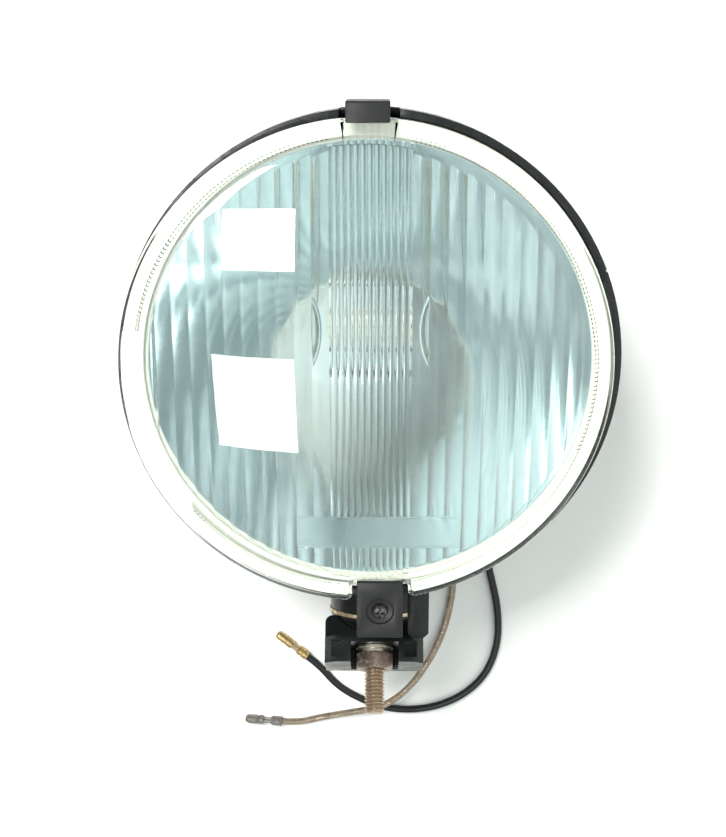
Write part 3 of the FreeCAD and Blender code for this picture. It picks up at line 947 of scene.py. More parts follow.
def flying_leads() -> list[Lead]:
    """Both leads, from the cable outlet along the table to their terminals.

    Returns:
        The leads.
    """
    angle = math.radians(-62.0)
    out = Vector((math.cos(angle), math.sin(angle), 0.0))
    side = Vector((-out.y, out.x, 0.0))

    def at(far: float, across: float, high: float) -> Point:
        """A point from its distance out, its offset and its height, all in millimetres."""
        return tuple((out * far + side * across + UP * high) * MM)

    black = [
        at(76.0, 2.8, 13.0),
        at(85.0, 3.6, 11.6),
        (0.0456, -0.0865, 0.0060),
        (0.0492, -0.0990, 0.0025),
        (0.0529, -0.1140, 0.00175),
        (0.0564, -0.1290, 0.0017),
        (0.0568, -0.1460, 0.0017),
        (0.0516, -0.1615, 0.0017),
        (0.0405, -0.1724, 0.0017),
        (0.0260, -0.1782, 0.0017),
        (0.0095, -0.1786, 0.00175),
        (-0.0035, -0.1738, 0.0017),
        (-0.0146, -0.1670, 0.00175),
        (-0.0228, -0.1563, 0.0022),
        (-0.0283, -0.1517, 0.0022),
    ]
    clear = [
        at(76.0, -2.8, 13.0),
        at(84.0, -3.2, 11.8),
        (0.0350, -0.0870, 0.0064),
        (0.0364, -0.0985, 0.0027),
        (0.0366, -0.1120, 0.0017),
        (0.0354, -0.1260, 0.00165),
        (0.0322, -0.1405, 0.0017),
        (0.0254, -0.1550, 0.0034),
        (0.0156, -0.1666, 0.0079),
        (0.0042, -0.1744, 0.0079),
        (-0.0100, -0.1794, 0.0033),
        (-0.0225, -0.1826, 0.0019),
        (-0.0326, -0.1852, 0.0022),
        (-0.0401, -0.1846, 0.0022),
    ]
    return [
        Lead("black_lead", black, 0.0016, 0.1952, False, Terminal.BRASS),
        Lead("clear_lead", clear, 0.0015, 0.1668, True, Terminal.TINNED),
    ]


# ---------------------------------------------------------------- lens unit


@dataclass
class FlutedLens:
    """Pressed glass lens: flat flange with two notches, crowned front, flutes on its inner side."""

    centre: Pair = (-1.6, -1.6)
    radius: float = 87.2
    seat: float = 76.3
    top: float = 80.5
    crown: float = 7.5
    crown_radius: float = 78.6
    optic_radius: float = 76.5
    glass: float = 4.5
    edge: float = 1.2
    foot_edge: float = 0.6
    spacing: float = 0.43
    bottom_notch: tuple[float, float, float] = (3.9, 20.6, -81.6)
    top_notch: tuple[float, float, float] = (-0.4, 17.0, 84.4)
    notch_round: float = 2.4
    rope_radius: float = 81.2
    rope_depth: float = 0.4
    rope_pitch: float = 1.6
    lip_radius: float = 81.2
    flute_circle: float = 78.2
    fine_span: Pair = (-14.0, 14.4)
    fine_count: int = 12
    fine_depth: float = 0.5
    wide_pitch: float = 6.1
    wide_depth: float = 0.42
    plaque_x: Pair = (-26.5, 32.2)
    plaque_y: Pair = (-67.7, -54.7)
    plaque_border: float = 0.8
    plaque_depth: float = 0.5
    plaque_step: float = 0.04
    flute_gap: float = 0.03

    def rounded(
        self, before: np.ndarray, corner: np.ndarray, after: np.ndarray, radius: float
    ) -> list[np.ndarray]:
        """Points of an arc that rounds a corner.

        Args:
            before: The point before the corner.
            corner: The corner.
            after: The point after it.
            radius: Radius of the arc.

        Returns:
            The arc's points in order.
        """
        back = (before - corner) / np.linalg.norm(before - corner)
        ahead = (after - corner) / np.linalg.norm(after - corner)
        half = math.acos(float(np.clip(back @ ahead, -1, 1))) / 2
        trim = radius / math.tan(half)
        middle = corner + (back + ahead) / np.linalg.norm(back + ahead) * radius / math.sin(half)
        start, end = corner + back * trim, corner + ahead * trim
        first, last = (math.atan2(*(p - middle)[::-1]) for p in (start, end))
        sweep = (last - first + math.pi) % (2 * math.pi) - math.pi
        turns = first + sweep * np.linspace(0, 1, 9)
        return [middle + radius * np.array([math.cos(t), math.sin(t)]) for t in turns]

    def line(self, start: np.ndarray, end: np.ndarray) -> list[np.ndarray]:
        """Evenly spaced points between two ends, without the ends."""
        count = max(2, int(np.linalg.norm(end - start) / self.spacing))
        return [start + (end - start) * i / count for i in range(1, count)]

    def contour(self) -> np.ndarray:
        """The flange's outline with both notches, anticlockwise.

        Returns:
            The outline's points.
        """
        centre = np.array(self.centre)

        def mouth(x: float, way: int) -> np.ndarray:
            """Where the line at x meets the circle, above or below."""
            return np.array([x, centre[1] + way * math.sqrt(self.radius**2 - (x - centre[0]) ** 2)])

        def arc(start: np.ndarray, end: np.ndarray) -> list[np.ndarray]:
            """Points on the circle, anticlockwise, clear of the notches' rounded mouths.

            Args:
                start: Where the circle leaves one notch.
                end: Where it meets the other.

            Returns:
                The points in order.
            """
            first = math.atan2(*(start - centre)[::-1])
            last = math.atan2(*(end - centre)[::-1])
            last += 2 * math.pi * (last < first)
            gap = 1.7 * self.notch_round / self.radius
            count = int((last - first - 2 * gap) * self.radius / self.spacing)
            turns = np.linspace(first + gap, last - gap, count)
            return [centre + self.radius * np.array([math.cos(t), math.sin(t)]) for t in turns]

        x, wide, y = self.bottom_notch
        low = [np.array([x - wide / 2, y]), np.array([x + wide / 2, y])]
        low_mouth = [mouth(low[0][0], -1), mouth(low[1][0], -1)]
        x, wide, y = self.top_notch
        high = [np.array([x + wide / 2, y]), np.array([x - wide / 2, y])]
        high_mouth = [mouth(high[0][0], 1), mouth(high[1][0], 1)]
        right, left = arc(low_mouth[1], high_mouth[0]), arc(high_mouth[1], low_mouth[0])
        points = list(right)
        small = self.notch_round / 3
        for mouths, inner, before, after in (
            (high_mouth, high, right[-1], left[0]),
            (low_mouth, low, left[-1], right[0]),
        ):
            depth = min(np.linalg.norm(mouths[0] - inner[0]), np.linalg.norm(mouths[1] - inner[1]))
            big = min(self.notch_round, 0.55 * depth)
            inside = min(small * 2, 0.35 * depth)
            pieces = [
                self.rounded(before, mouths[0], inner[0], big),
                self.rounded(mouths[0], inner[0], inner[1], inside),
                self.rounded(inner[0], inner[1], mouths[1], inside),
                self.rounded(inner[1], mouths[1], after, big),
            ]
            for i, piece in enumerate(pieces):
                points += piece
                if i < 3:
                    points += self.line(piece[-1], pieces[i + 1][0])
            if mouths is high_mouth:
                points += left
        return np.array(points)

    def ridge(self, x: float, y: float, share: float, depth: float) -> float:
        """How far the inner side stands proud at a place in a flute.

        Args:
            x: Place across.
            y: Place up.
            share: Share of the way across the flute.
            depth: Depth of the flute.

        Returns:
            The height in millimetres.
        """
        (left, right), (low, high) = self.plaque_x, self.plaque_y
        rim = min(x - left, right - x, y - low, high - y)
        if rim >= 0:
            return self.plaque_depth if rim < self.plaque_border else 0.0
        return depth * (1 - (2 * share - 1) ** 2)

    def frame_lines(self, span: Pair) -> list[float]:
        """Places just beside the steps of the raised frame, along one axis.

        Args:
            span: Both outer sides of the frame.

        Returns:
            The places.
        """
        step, border = self.plaque_step, self.plaque_border
        places = []
        for side, way in ((span[0], 1), (span[1], -1)):
            places += [side - step * way, side + step * way]
            places += [side + way * (border - step), side + way * (border + step)]
        return places

    def columns(self) -> list[tuple[float, float, float, float]]:
        """Columns of the inner side: place across, share of the flute, its depth and its end radius.

        Returns:
            The columns from left to right.
        """
        left, right = self.fine_span
        fine = (right - left) / self.fine_count
        flutes = [(left + fine * i, left + fine * (i + 1), self.fine_depth) for i in range(self.fine_count)]
        reach = self.optic_radius - 1.0
        place = right
        while place + 1.0 < self.centre[0] + reach:
            flutes.append((place, min(place + self.wide_pitch, self.centre[0] + reach), self.wide_depth))
            place += self.wide_pitch
        place = left
        while place - 1.0 > self.centre[0] - reach:
            flutes.insert(0, (max(place - self.wide_pitch, self.centre[0] - reach), place, self.wide_depth))
            place -= self.wide_pitch
        edges = self.frame_lines(self.plaque_x)
        result = []
        for start, end, depth in flutes:
            steps = 8 if depth == self.fine_depth else 12
            gap = self.flute_gap
            places = [start + gap + (end - start - 2 * gap) * i / steps for i in range(steps + 1)]
            places = sorted(places + [e for e in edges if start + gap < e < end - gap])
            outward = 1 if (start + end) / 2 > self.centre[0] else -1
            for x in places:
                share = (x - start) / (end - start)
                far = share if outward > 0 else 1 - share
                fine_stop, wide_stop = self.flute_circle - 0.2, self.optic_radius + 0.5 - 1.4 * far
                result.append((x, share, depth, fine_stop if depth == self.fine_depth else wide_stop))
        middle = self.centre[0]
        first, last = result[0][0], result[-1][0]
        for way, limit in ((-1, first), (1, last)):
            start = math.acos(min(1.0, abs(limit - middle) / self.flute_circle))
            for i in range(9):
                x = middle + way * self.flute_circle * math.cos(start * (0.94 - 0.94 * i / 8))
                result.append((x, 0.0, 0.0, 0.0))
        return sorted(result)

    def inner_height(self, radius: float) -> float:
        """Height of the smooth inner side.

        Args:
            radius: Distance from the lens's middle.

        Returns:
            The height in millimetres.
        """
        rise = self.top + self.crown - self.glass - self.seat
        ball = (self.optic_radius**2 + rise**2) / (2 * rise)
        return self.seat + (math.sqrt(ball**2 - min(radius, self.optic_radius) ** 2) - (ball - rise))

    def inner_grid(self) -> tuple[list[Point], list[tuple[int, ...]], list[int]]:
        """The fluted inner side inside its circle.

        Returns:
            The points, the faces, and the numbers of the points on the circle.
        """
        rows = list(np.linspace(-self.flute_circle, self.flute_circle, 49))
        rows = sorted(rows + self.frame_lines(self.plaque_y))
        cx, cy = self.centre
        points, circle = [], []
        columns = self.columns()
        for x, share, depth, stop in columns:
            across = abs(x - cx)
            reach = math.sqrt(max(self.flute_circle**2 - across**2, 0.0))
            end = math.sqrt(max(stop**2 - across**2, 0.0)) if stop > across else 0.0
            circle += [len(points), len(points) + len(rows) + 3]
            points.append((x, cy - reach, self.inner_height(self.flute_circle)))
            riser = min(end + 0.08, reach)
            points.append((x, cy - riser, self.inner_height(math.hypot(across, riser))))
            for row in rows:
                y = min(max(row, cy - end), cy + end)
                lift = self.ridge(x, y, share, depth) if end > 0 else 0.0
                points.append((x, y, self.inner_height(math.hypot(across, y - cy)) - lift))
            points.append((x, cy + riser, self.inner_height(math.hypot(across, riser))))
            points.append((x, cy + reach, self.inner_height(self.flute_circle)))
        tall = len(rows) + 4
        faces = []
        for c in range(len(columns) - 1):
            for r in range(tall - 1):
                a = c * tall + r
                faces.append((a, a + tall, a + tall + 1, a + 1))
        return points, faces, circle

    def flange_flutes(self, flat: np.ndarray) -> np.ndarray:
        """Depth of the fine flutes in the underside of the flange.

        Args:
            flat: Places on the flange.

        Returns:
            The depth at each place.
        """
        left, right = self.fine_span
        share = (flat[:, 0] - left) / (right - left) * self.fine_count % 1.0
        inside = (flat[:, 0] > left) & (flat[:, 0] < right)
        return np.where(inside, self.fine_depth * (1 - (2 * share - 1) ** 2), 0.0)

    def sealing_lip(self) -> bpy.types.Object:
        """Builds the thin lip of the seal that beds the flange on the rim.

        Returns:
            The linked object.
        """
        outline, inward = self.edge_lines()
        centre = np.array(self.centre)
        outer = outline + inward * 1.1
        room = np.linalg.norm(outer - centre, axis=1)
        inner = centre + (outer - centre) * (np.minimum(self.lip_radius, room - 0.8) / room)[:, None]
        low, high = self.seat - 0.34, self.seat - 0.03
        section = ((inner, low), (outer, low), (outer, high), (inner, high))
        loops = [np.column_stack([flat, np.full(len(flat), height)]) for flat, height in section]
        return link_mesh("sealing_lip", np.concatenate(loops), band_faces(4, len(outer), True), 30.0)

    def edge_lines(self) -> tuple[np.ndarray, np.ndarray]:
        """The flange's outline and the direction inward at each of its points.

        Returns:
            The outline and the directions.
        """
        outline = self.contour()
        ahead = np.roll(outline, -1, 0) - np.roll(outline, 1, 0)
        inward = np.stack([-ahead[:, 1], ahead[:, 0]], 1)
        return outline, inward / np.linalg.norm(inward, axis=1)[:, None]

    def build(self) -> bpy.types.Object:
        """Builds the lens as one closed body.

        Returns:
            The linked object.
        """
        outline, inward = self.edge_lines()
        width = len(outline)
        centre = np.array(self.centre)
        shrunk = outline + inward * self.edge
        turns = np.unwrap(np.arctan2(*(shrunk - centre).T[::-1]))
        steady = (np.maximum.accumulate(turns) + np.minimum.accumulate(turns[::-1])[::-1]) / 2
        steady += np.linspace(0, 1e-4, width)
        rays = np.stack([np.cos(steady), np.sin(steady)], 1)
        room = np.linalg.norm(shrunk - centre, axis=1)
        loops = []

        def loop(flat: np.ndarray, height: float | np.ndarray) -> None:
            """Adds a loop at a height."""
            loops.append(np.column_stack([flat, np.broadcast_to(height, (width,))]))

        for i in range(1, 26):
            r = self.crown_radius * i / 25
            ball = (self.crown_radius**2 + self.crown**2) / (2 * self.crown)
            loop(centre + rays * r, self.top + self.crown - ball + math.sqrt(ball**2 - r**2))
        for share in (0.01, 0.35, 0.7, 0.99):
            loop((centre + rays * self.crown_radius) * (1 - share) + shrunk * share, self.top)
        for i in range(6):
            turn = math.pi / 2 * i / 5
            height = self.top - self.edge * (1 - math.cos(turn))
            loop(outline + inward * self.edge * (1 - math.sin(turn)), height)
        for i in range(4):
            turn = math.pi / 2 * i / 3
            step = self.foot_edge * (1 - math.cos(turn))
            loop(outline + inward * step, self.seat + self.foot_edge * (1 - math.sin(turn)))
        reach = self.rope_radius + 0.8 - self.flute_circle
        keep = np.clip((room - 0.7 - self.flute_circle) / reach, 0.1, 1)
        teeth = 0.5 + 0.5 * np.cos(steady * round(2 * math.pi * self.rope_radius / self.rope_pitch))
        flat = outline + inward * (self.foot_edge + 0.3)
        loop(flat, self.seat + self.flange_flutes(flat))
        for offset, depth in ((0.8, 0.0), (0.5, 1.0), (-0.3, 1.0), (-0.6, 0.0), (-2.9, 0.0)):
            r = self.flute_circle + (self.rope_radius + offset - self.flute_circle) * keep
            flat = centre + rays * r[:, None]
            loop(flat, self.seat + np.maximum(depth * self.rope_depth * teeth, self.flange_flutes(flat)))
        points = [tuple(centre) + (self.top + self.crown,)]
        points += [tuple(p) for p in np.concatenate(loops)]
        faces = [tuple(n + 1 for n in f) for f in band_faces(len(loops), width)]
        faces += [(0, 1 + i, 1 + (i + 1) % width) for i in range(width)]
        grid, grid_faces, circle = self.inner_grid()
        shift = len(points)
        points += grid
        faces += [tuple(n + shift for n in f) for f in grid_faces]
        rim = [1 + (len(loops) - 1) * width + i for i in range(width)]
        faces += self.zipped(points, rim, [shift + n for n in circle])
        return link_mesh("fluted_lens", points, faces, 24.0)

    def zipped(
        self, points: Sequence[Point], outer: Sequence[int], inner: Sequence[int]
    ) -> list[tuple[int, int, int]]:
        """Triangles between two rings of points about the lens's middle.

        Args:
            points: All points.
            outer: Numbers of the outer ring's points.
            inner: Numbers of the inner ring's points.

        Returns:
            The triangles.
        """

        def turn(n: int) -> float:
            """Angle of a point about the middle."""
            return math.atan2(points[n][1] - self.centre[1], points[n][0] - self.centre[0])

        rings = [sorted(ring, key=turn) for ring in (outer, inner)]
        turns = [[turn(n) for n in ring] + [turn(ring[0]) + 2 * math.pi] for ring in rings]
        at = [0, 0]
        faces = []
        while at[0] < len(rings[0]) or at[1] < len(rings[1]):
            ahead = [turns[k][min(at[k] + 1, len(rings[k]))] for k in (0, 1)]
            move = 0 if at[1] >= len(rings[1]) or (at[0] < len(rings[0]) and ahead[0] <= ahead[1]) else 1
            here = [rings[k][at[k] % len(rings[k])] for k in (0, 1)]
            nxt = rings[move][(at[move] + 1) % len(rings[move])]
            faces.append((here[0], here[1], nxt))
            at[move] += 1
        return faces


@dataclass
class LampUnit:
    """Everything behind the glass: seal, reflector and bulb."""

    focal: float = 25.0
    bowl_radius: float = 78.0
    flange: float = 85.4
    flange_top: float = 74.3
    sheet: float = 1.4
    neck: float = 20.0
    neck_floor: float = 12.5
    bulb_hole: float = 9.0
    bead_radius: float = 0.95
    # Thickness of the pale sheet under the lens flange, whose paleness is painted reflection.
    coat: float = 0.06
    capsule: float = 5.48
    filament_half: float = 2.3
    filament_height: float = 31.0
    coil_radius: float = 0.7
    wire_radius: float = 0.16

    def bowl_height(self, radius: float) -> float:
        """Height of the mirror at a radius."""
        return self.flange_top + (radius**2 - self.bowl_radius**2) / (4 * self.focal)

    def build_reflector(self) -> None:
        """Builds the mirror bowl with its neck and flange."""
        sheet = self.sheet
        steps = [self.neck + (self.bowl_radius - self.neck) * i / 60 for i in range(61)]
        brim = self.bowl_height(self.neck)
        outline = [(self.bulb_hole, self.neck_floor), (self.neck - sheet - 1.2, self.neck_floor)]
        outline += [(self.neck - sheet, self.neck_floor + 1.2), (self.neck - sheet, brim - 1.0)]
        outline += [(self.neck - sheet * 0.6, brim - 0.3)]
        outline += [(r, self.bowl_height(r)) for r in steps]
        outline += [(self.flange - 0.3, self.flange_top), (self.flange, self.flange_top - 0.4)]
        outline += [(self.flange, self.flange_top - sheet), (self.bowl_radius + 0.5, self.flange_top - sheet)]
        outline += [(r, self.bowl_height(r) - sheet) for r in reversed(steps[1:])]
        outline += [(self.neck, self.neck_floor), (self.neck - 0.6, self.neck_floor - sheet)]
        outline += [(self.bulb_hole, self.neck_floor - sheet)]
        bowl = turned("reflector_bowl", outline, steps=256, sharp=30.0, closed=True)
        fit(bowl, COATING, Body.LAMP, ["reflector"])
        # A pale matte sheet on the mirror's flange, under the glass rim: painted reflection standing in for
        # the bright light seen in the glass edge, not a real coat.
        low, high = self.flange_top, self.flange_top + self.coat
        start, edge = self.bowl_radius + 0.3, self.flange - 0.05
        coat = [(start, low), (edge, low), (edge, high), (start, high)]
        fit(turned("painted_reflection_sheet", coat, steps=256, closed=True), PAINTED_REFLECTION_COAT, Body.LAMP)
        middle, thick = brim + 0.2, self.bead_radius
        turns = np.arange(0, 2 * math.pi, math.pi / 8)
        bead = [(self.neck + thick * math.cos(t), middle + thick * math.sin(t)) for t in turns]
        fit(turned("neck_bead", bead, steps=160, closed=True), COATING, Body.LAMP)

    def build_bulb(self) -> None:
        """Builds the capsule, its filament and its base."""
        outer = [(0.0, 16.4), (3.6, 16.4), (5.2, 17.6), (self.capsule, 19.5), (self.capsule, 31.0)]
        outer += [(self.capsule * math.cos(t), 31.2 + 5.7 * math.sin(t)) for t in np.linspace(0.1, 1.35, 8)]
        outer += [(0.7, 36.95), (0.0, 36.98)]
        inner = [(max(r - 0.75, 0.0), min(max(z, 17.4), 36.1)) for r, z in outer]
        fit(turned("bulb_envelope", outer, steps=64), BULB_GLASS, Body.LAMP, ["bulb_capsule"])
        hollow = turned("bulb_inside", inner, steps=64)
        hollow.data.flip_normals()
        fit(hollow, BULB_GLASS, Body.LAMP)
        self.build_filament()
        base = [(0.0, 15.9), (5.6, 15.9), (6.6, 15.6), (6.95, 14.8), (6.95, 11.6), (7.6, 11.05)]
        base += [(10.7, 11.05), (11.0, 10.8), (11.0, 9.4), (10.6, 9.22), (5.9, 9.22), (5.5, 8.8)]
        base += [(5.5, 7.0), (5.0, 6.6), (0.0, 6.6)]
        fit(turned("bulb_flange_base", base, steps=80), BRIGHT_ZINC, Body.LAMP, ["bulb_base"])

    def build_filament(self) -> None:
        """Builds the coiled filament on its two posts."""
        data = bpy.data.curves.new("filament", "CURVE")
        data.dimensions = "3D"
        data.bevel_depth = self.wire_radius * MM
        data.bevel_resolution = 2
        half, high, loop = self.filament_half, self.filament_height, self.coil_radius
        steps, turn = 120, 0.62
        coil = [
            (-half + 2 * half * i / steps, loop * math.cos(i * turn), high + loop * math.sin(i * turn))
            for i in range(steps + 1)
        ]
        posts = [[(x, 0.0, 17.0), (x * 0.8, 0.3, 22.0), (x, 0.2, high)] for x in (-half, half)]
        for wire in [coil, *posts]:
            spline = data.splines.new("POLY")
            spline.points.add(len(wire) - 1)
            for point, place in zip(spline.points, wire):
                point.co = (*(c * MM for c in place), 1.0)
        fit(linked("filament", data), TUNGSTEN, Body.LAMP, ["bulb_filament"])

    def build(self) -> None:
        """Builds the seal, the reflector and the bulb."""
        seal = [(79.7, 74.37), (79.6, 74.7), (79.6, 75.9), (79.9, 76.28)]
        seal += [(81.9, 76.28), (82.2, 75.9), (82.2, 74.7), (82.1, 74.37)]
        ring = turned("sealing_ring", seal, steps=256, closed=True)
        fit(ring, SEAL, Body.LAMP, ["lens_gasket"])
        self.build_reflector()
        self.build_bulb()


# ---------------------------------------------------------------- housing and mounting


@dataclass
class Housing:
    """Black shell, top clip, clamp plate with its screw, and the cable grommet."""

    nodes: dict[str, bpy.types.Object]
    screw_place: Pair = (3.8, -91.8)
    screw_seat: float = 82.0
    head_radius: float = 3.0
    head_height: float = 2.4
    cross_width: float = 0.45
    cross_reach: float = 1.9
    cross_depth: float = 1.2
    screw_length: float = 14.9
    screw_tip: float = 1.2
    screw_root: float = 1.6
    screw_thread: float = 0.38
    screw_pitch: float = 0.8

    def screw_head(self) -> bpy.types.Object:
        """Pan head with a tapered cross recess.

        Returns:
            The linked mesh.
        """
        steps, rings = 96, 22
        points = []
        for k in range(rings + 1):
            r = self.head_radius * k / rings
            for i in range(steps):
                a = 2 * math.pi * i / steps
                x, y = r * math.cos(a), r * math.sin(a)
                dome = self.head_height * math.sqrt(max(1 - (r / self.head_radius) ** 4, 0.0)) * 0.92
                arm = min(max(abs(x), abs(y)) / self.cross_reach, 1.0)
                thin = min(abs(x), abs(y)) < self.cross_width * (1.15 - 0.4 * arm) or r < 0.75
                cut = self.cross_depth * (1.05 - 0.35 * arm) if thin and r < self.cross_reach else 0.0
                points.append((x, y, dome - cut))
        turns = [2 * math.pi * i / steps for i in range(steps)]
        points += [(self.head_radius * math.cos(a), self.head_radius * math.sin(a), 0.0) for a in turns]
        points += [(0.0, 0.0, 0.0)] * steps
        faces = band_faces(rings + 3, steps)
        x, y = self.screw_place
        moved = placed(np.array(points), (x, y, self.screw_seat), UP)
        return link_mesh("clamp_screw_head", moved, faces, 40.0)

    def build_screw(self) -> None:
        """Builds the clamp screw with its thread."""
        x, y = self.screw_place
        heights = np.arange(-self.screw_length, 0.01, 0.1)

        def radius(angle: float, height: float) -> float:
            """Radius of the thread."""
            crest = wave(height / self.screw_pitch - angle / (2 * math.pi))
            tip = self.screw_tip + (height + self.screw_length)
            return min(tip, self.screw_root + self.screw_thread * crest)

        angles = np.arange(36) * 2 * math.pi / 36
        shank = polar_solid("clamp_screw_thread", radius, heights, angles, (x, y, self.screw_seat), UP)
        screw = joined("cross_head_screw", [self.screw_head(), shank])
        fit(screw, SCREW_STEEL, Body.SCREW, ["clamp_screw"])

    def build(self) -> None:
        """Builds the housing's pieces."""
        shell = softened(self.nodes["housing_shell"], "lamp_housing", 0.35)
        fit(shell, BLACK_PLASTIC, Body.LAMP, ["housing_shell"])
        clip = softened(self.nodes["top_clip"], "upper_clip", 0.45)
        fit(clip, BLACK_ENAMEL, Body.LAMP, ["top_clip"])
        plate = softened(self.nodes["clamp_plate"], "glass_clamp_plate", 0.3)
        fit(plate, BLACK_ENAMEL, Body.CLAMP, ["clamp_plate"])
        self.build_screw()
        dress_node(self.nodes["clamp_nut"], BRIGHT_ZINC)
        grommet = softened(self.nodes["cable_grommet"], "outlet_grommet", 0.5)
        fit(grommet, RUBBER, Body.LAMP, ["cable_grommet"])
        dress_node(self.nodes["bulb_spring"], BRIGHT_ZINC)
        dress_node(self.nodes["bulb_connector"], DULL_PLASTIC)
        dress_node(self.nodes["inner_live_lead"], BLACK_PVC)
        dress_node(self.nodes["inner_earth_lead"], CLEAR_PVC)


@dataclass
class Mounting:
    """Knuckle, foot and the threaded stud with its washers and nut."""

    nodes: dict[str, bpy.types.Object]
    pivot: Point = (1.9, -104.0, 35.0)
    tilt: float = 36.0
    knuckle_tilt: float = 12.0
    thread_pitch: float = 1.411
    thread_radius: float = 3.97
    thread_depth: float = 0.72
    thread_start: float = 22.0
    stud_end: float = 50.0
    head_start: float = 8.2
    head_end: float = 13.5
    nut_start: float = 26.5
    nut_height: float = 6.5
    head_flats: float = 12.7
    nut_flats: float = 14.3
    bore: float = 4.05
    shank_radius: float = 3.9
    shank_span: Pair = (13.0, 22.2)
    ring_radius: float = 18.48
    ring_bore: float = 18.02
    dab_place: tuple[float, float, float] = (-4.4, 22.5, 11.93)
    dab_size: Pair = (2.6, 1.1)

    def direction(self, degrees: float) -> Vector:
        """The direction in the YZ plane that is degrees up from -Y."""
        angle = math.radians(degrees)
        return Vector((0.0, -math.cos(angle), math.sin(angle)))

    def hex_radius(self, flats: float, angle: float, height: float, low: float, high: float) -> float:
        """Radius of a hexagon with its corners chamfered at the ends.

        Args:
            flats: Size across the flats in millimetres.
            angle: Angle in radians.
            height: Height in millimetres.
            low: Height of one end.
            high: Height of the other.

        Returns:
            The radius in millimetres.
        """
        sector = (angle + math.pi / 6) % (math.pi / 3) - math.pi / 6
        flat = flats / 2 / math.cos(sector)
        cone = flats / 2 * 0.985 + min(height - low, high - height) * 1.73
        return min(flat, cone)

    def build_stud(self) -> None:
        """Builds the bolt whose threaded end is the mounting stud."""
        along = self.direction(self.tilt)

        def thread(angle: float, height: float) -> float:
            """Radius of the thread, run out at both ends.

            Args:
                angle: Angle in radians.
                height: Height in millimetres.

            Returns:
                The radius in millimetres.
            """
            crest = wave(height / self.thread_pitch - angle / (2 * math.pi))
            tip = self.thread_radius - 0.9 + (self.stud_end - height) * 1.1
            root = self.thread_radius - self.thread_depth
            run_in = min(1.0, max(0.0, (height - self.thread_start) / 2))
            return min(tip, root + self.thread_depth * max(crest, 1 - run_in) * 0.985)

        heights = np.linspace(self.thread_start, self.stud_end, 240)
        angles = np.arange(60) * 2 * math.pi / 60
        screw = polar_solid("stud_thread", thread, heights, angles, self.pivot, along, sharp=50.0)
        low, high = self.head_start, self.head_end
        heights = [low, low + 0.3, low + 0.8, high - 0.8, high - 0.3, high]
        angles = np.arange(72) * 2 * math.pi / 72
        head = polar_solid(
            "stud_head",
            lambda a, h: self.hex_radius(self.head_flats, a, h, low, high),
            heights,
            angles,
            self.pivot,
            along,
        )
        start, end = self.shank_span
        outline = [(0.0, start), (self.shank_radius, start), (self.shank_radius, end), (0.0, end)]
        shank = turned("stud_shank", outline, self.pivot, along, 60)
        fit(joined("mounting_stud", [screw, head, shank]), RUSTY_ZINC, Body.BOLT, ["stud"])

    def build_nut(self) -> None:
        """Builds the chamfered nut."""
        low, high = self.nut_start, self.nut_start + self.nut_height
        heights = [low, low + 0.2, low + 0.5, low + 0.9, high - 0.9, high - 0.5, high - 0.2, high]
        angles = np.arange(144) * 2 * math.pi / 144 + math.pi / 6
        nut = polar_solid(
            "hexagon_nut",
            lambda a, h: self.hex_radius(self.nut_flats, a, h, low, high),
            heights,
            angles,
            self.pivot,
            self.direction(self.tilt),
            bore=self.bore,
        )
        fit(nut, NUT_RUST, Body.NUT, ["stud_nut"])

    def build_washers(self) -> None:
        """Builds the flat washer and dresses the split one."""
        outline = [(self.bore, 23.72), (self.bore, 24.88), (7.35, 24.88)]
        outline += [(7.58, 24.65), (7.58, 23.95), (7.35, 23.72)]
        washer = turned("round_washer", outline, self.pivot, self.direction(self.tilt), 96, closed=True)
        fit(washer, BRIGHT_ZINC, Body.WASHERS, ["flat_washer"])
        spring = softened(self.nodes["lock_washer"], "split_washer", 0.2)
        fit(spring, BRIGHT_ZINC, Body.WASHERS, ["lock_washer"])

    def build_paint_dab(self) -> None:
        """Builds a thin dab of faded paint on the front of the nut's bay."""
        chance = random.Random(5)
        count = 40
        rim = [1 + 0.18 * math.sin(3 * t) + 0.1 * chance.uniform(-1, 1) for t in np.linspace(0, 6.28, count)]
        along = self.direction(self.tilt)
        front = Vector((0.0, math.sin(math.radians(self.tilt)), math.cos(math.radians(self.tilt))))
        x, far, out = self.dab_place
        centre = Vector(self.pivot) + along * far + front * out + Vector((x, 0.0, 0.0))
        wide, high = self.dab_size
        points = []
        for level, size in ((0.0, 1.0), (0.05, 0.92), (0.07, 0.0)):
            for i in range(count):
                t = 2 * math.pi * i / count
                across = Vector((math.cos(t) * wide * rim[i] * size, 0.0, 0.0))
                points.append(centre + across + along * (math.sin(t) * high * rim[i] * size) + front * level)
        dab = link_mesh("paint_dab", points, band_faces(3, count), 60.0)
        fit(dab, FADED_PAINT, Body.FOOT)

    def build(self) -> None:
        """Builds the mounting's pieces."""
        knuckle = softened(self.nodes["knuckle"], "ball_knuckle", 0.3)
        fit(knuckle, BLACK_PLASTIC, Body.LAMP, ["knuckle"])
        inner, outer, along = self.ring_bore, self.ring_radius, self.direction(self.knuckle_tilt)
        outline = [(inner, 7.0), (inner, 8.58), (18.3, 8.58), (outer, 8.4), (outer, 7.2), (18.3, 7.02)]
        ring = turned("knuckle_edge_ring", outline, self.pivot, along, 128, closed=True)
        fit(ring, RING_STEEL, Body.LAMP, ["knuckle_ring"])
        foot = softened(self.nodes["foot"], "mounting_foot", 0.4)
        fit(foot, FOOT_PLASTIC, Body.FOOT, ["foot"])
        dress_node(self.nodes["saddle_washer"], BRIGHT_ZINC)
        self.build_stud()
        self.build_washers()
        self.build_nut()
        self.build_paint_dab()


def main() -> None:
    """Builds every piece round the frame."""
    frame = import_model()
    nodes = frame["nodes"]
    studio = Studio()
    studio.build_camera()
    for lead in flying_leads():
        lead.build()
    studio.build()
    lens = FlutedLens()
    fit(lens.build(), LENS_GLASS, Body.LAMP, ["lens"])
    fit(lens.sealing_lip(), SEAL, Body.LAMP)
    LampUnit().build()
    Housing(nodes).build()
    Mounting(nodes).build()


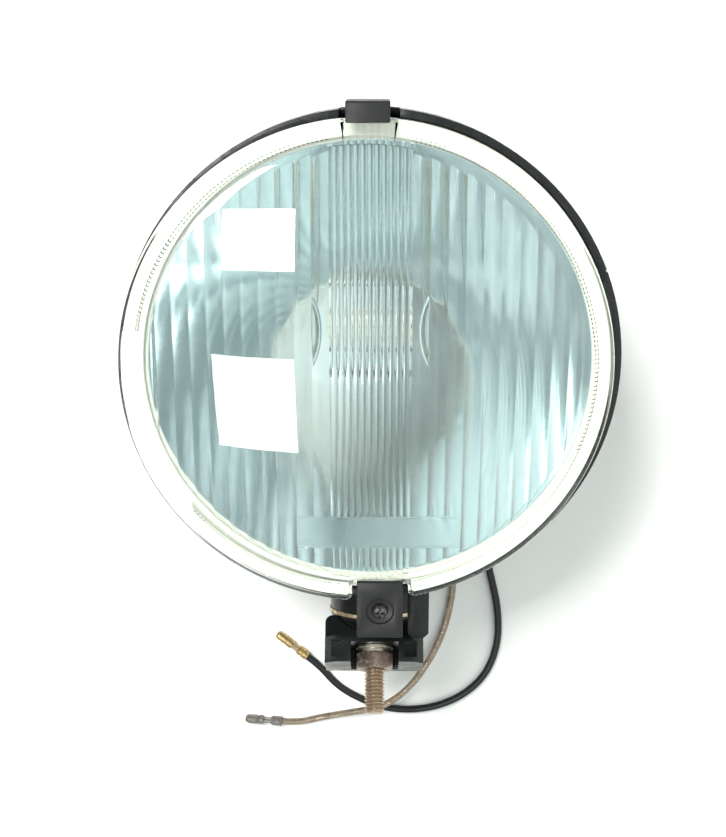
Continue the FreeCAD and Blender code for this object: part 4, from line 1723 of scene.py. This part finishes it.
if __name__ == "__main__":
    logging.basicConfig(level=logging.INFO, format="%(message)s")
    main()
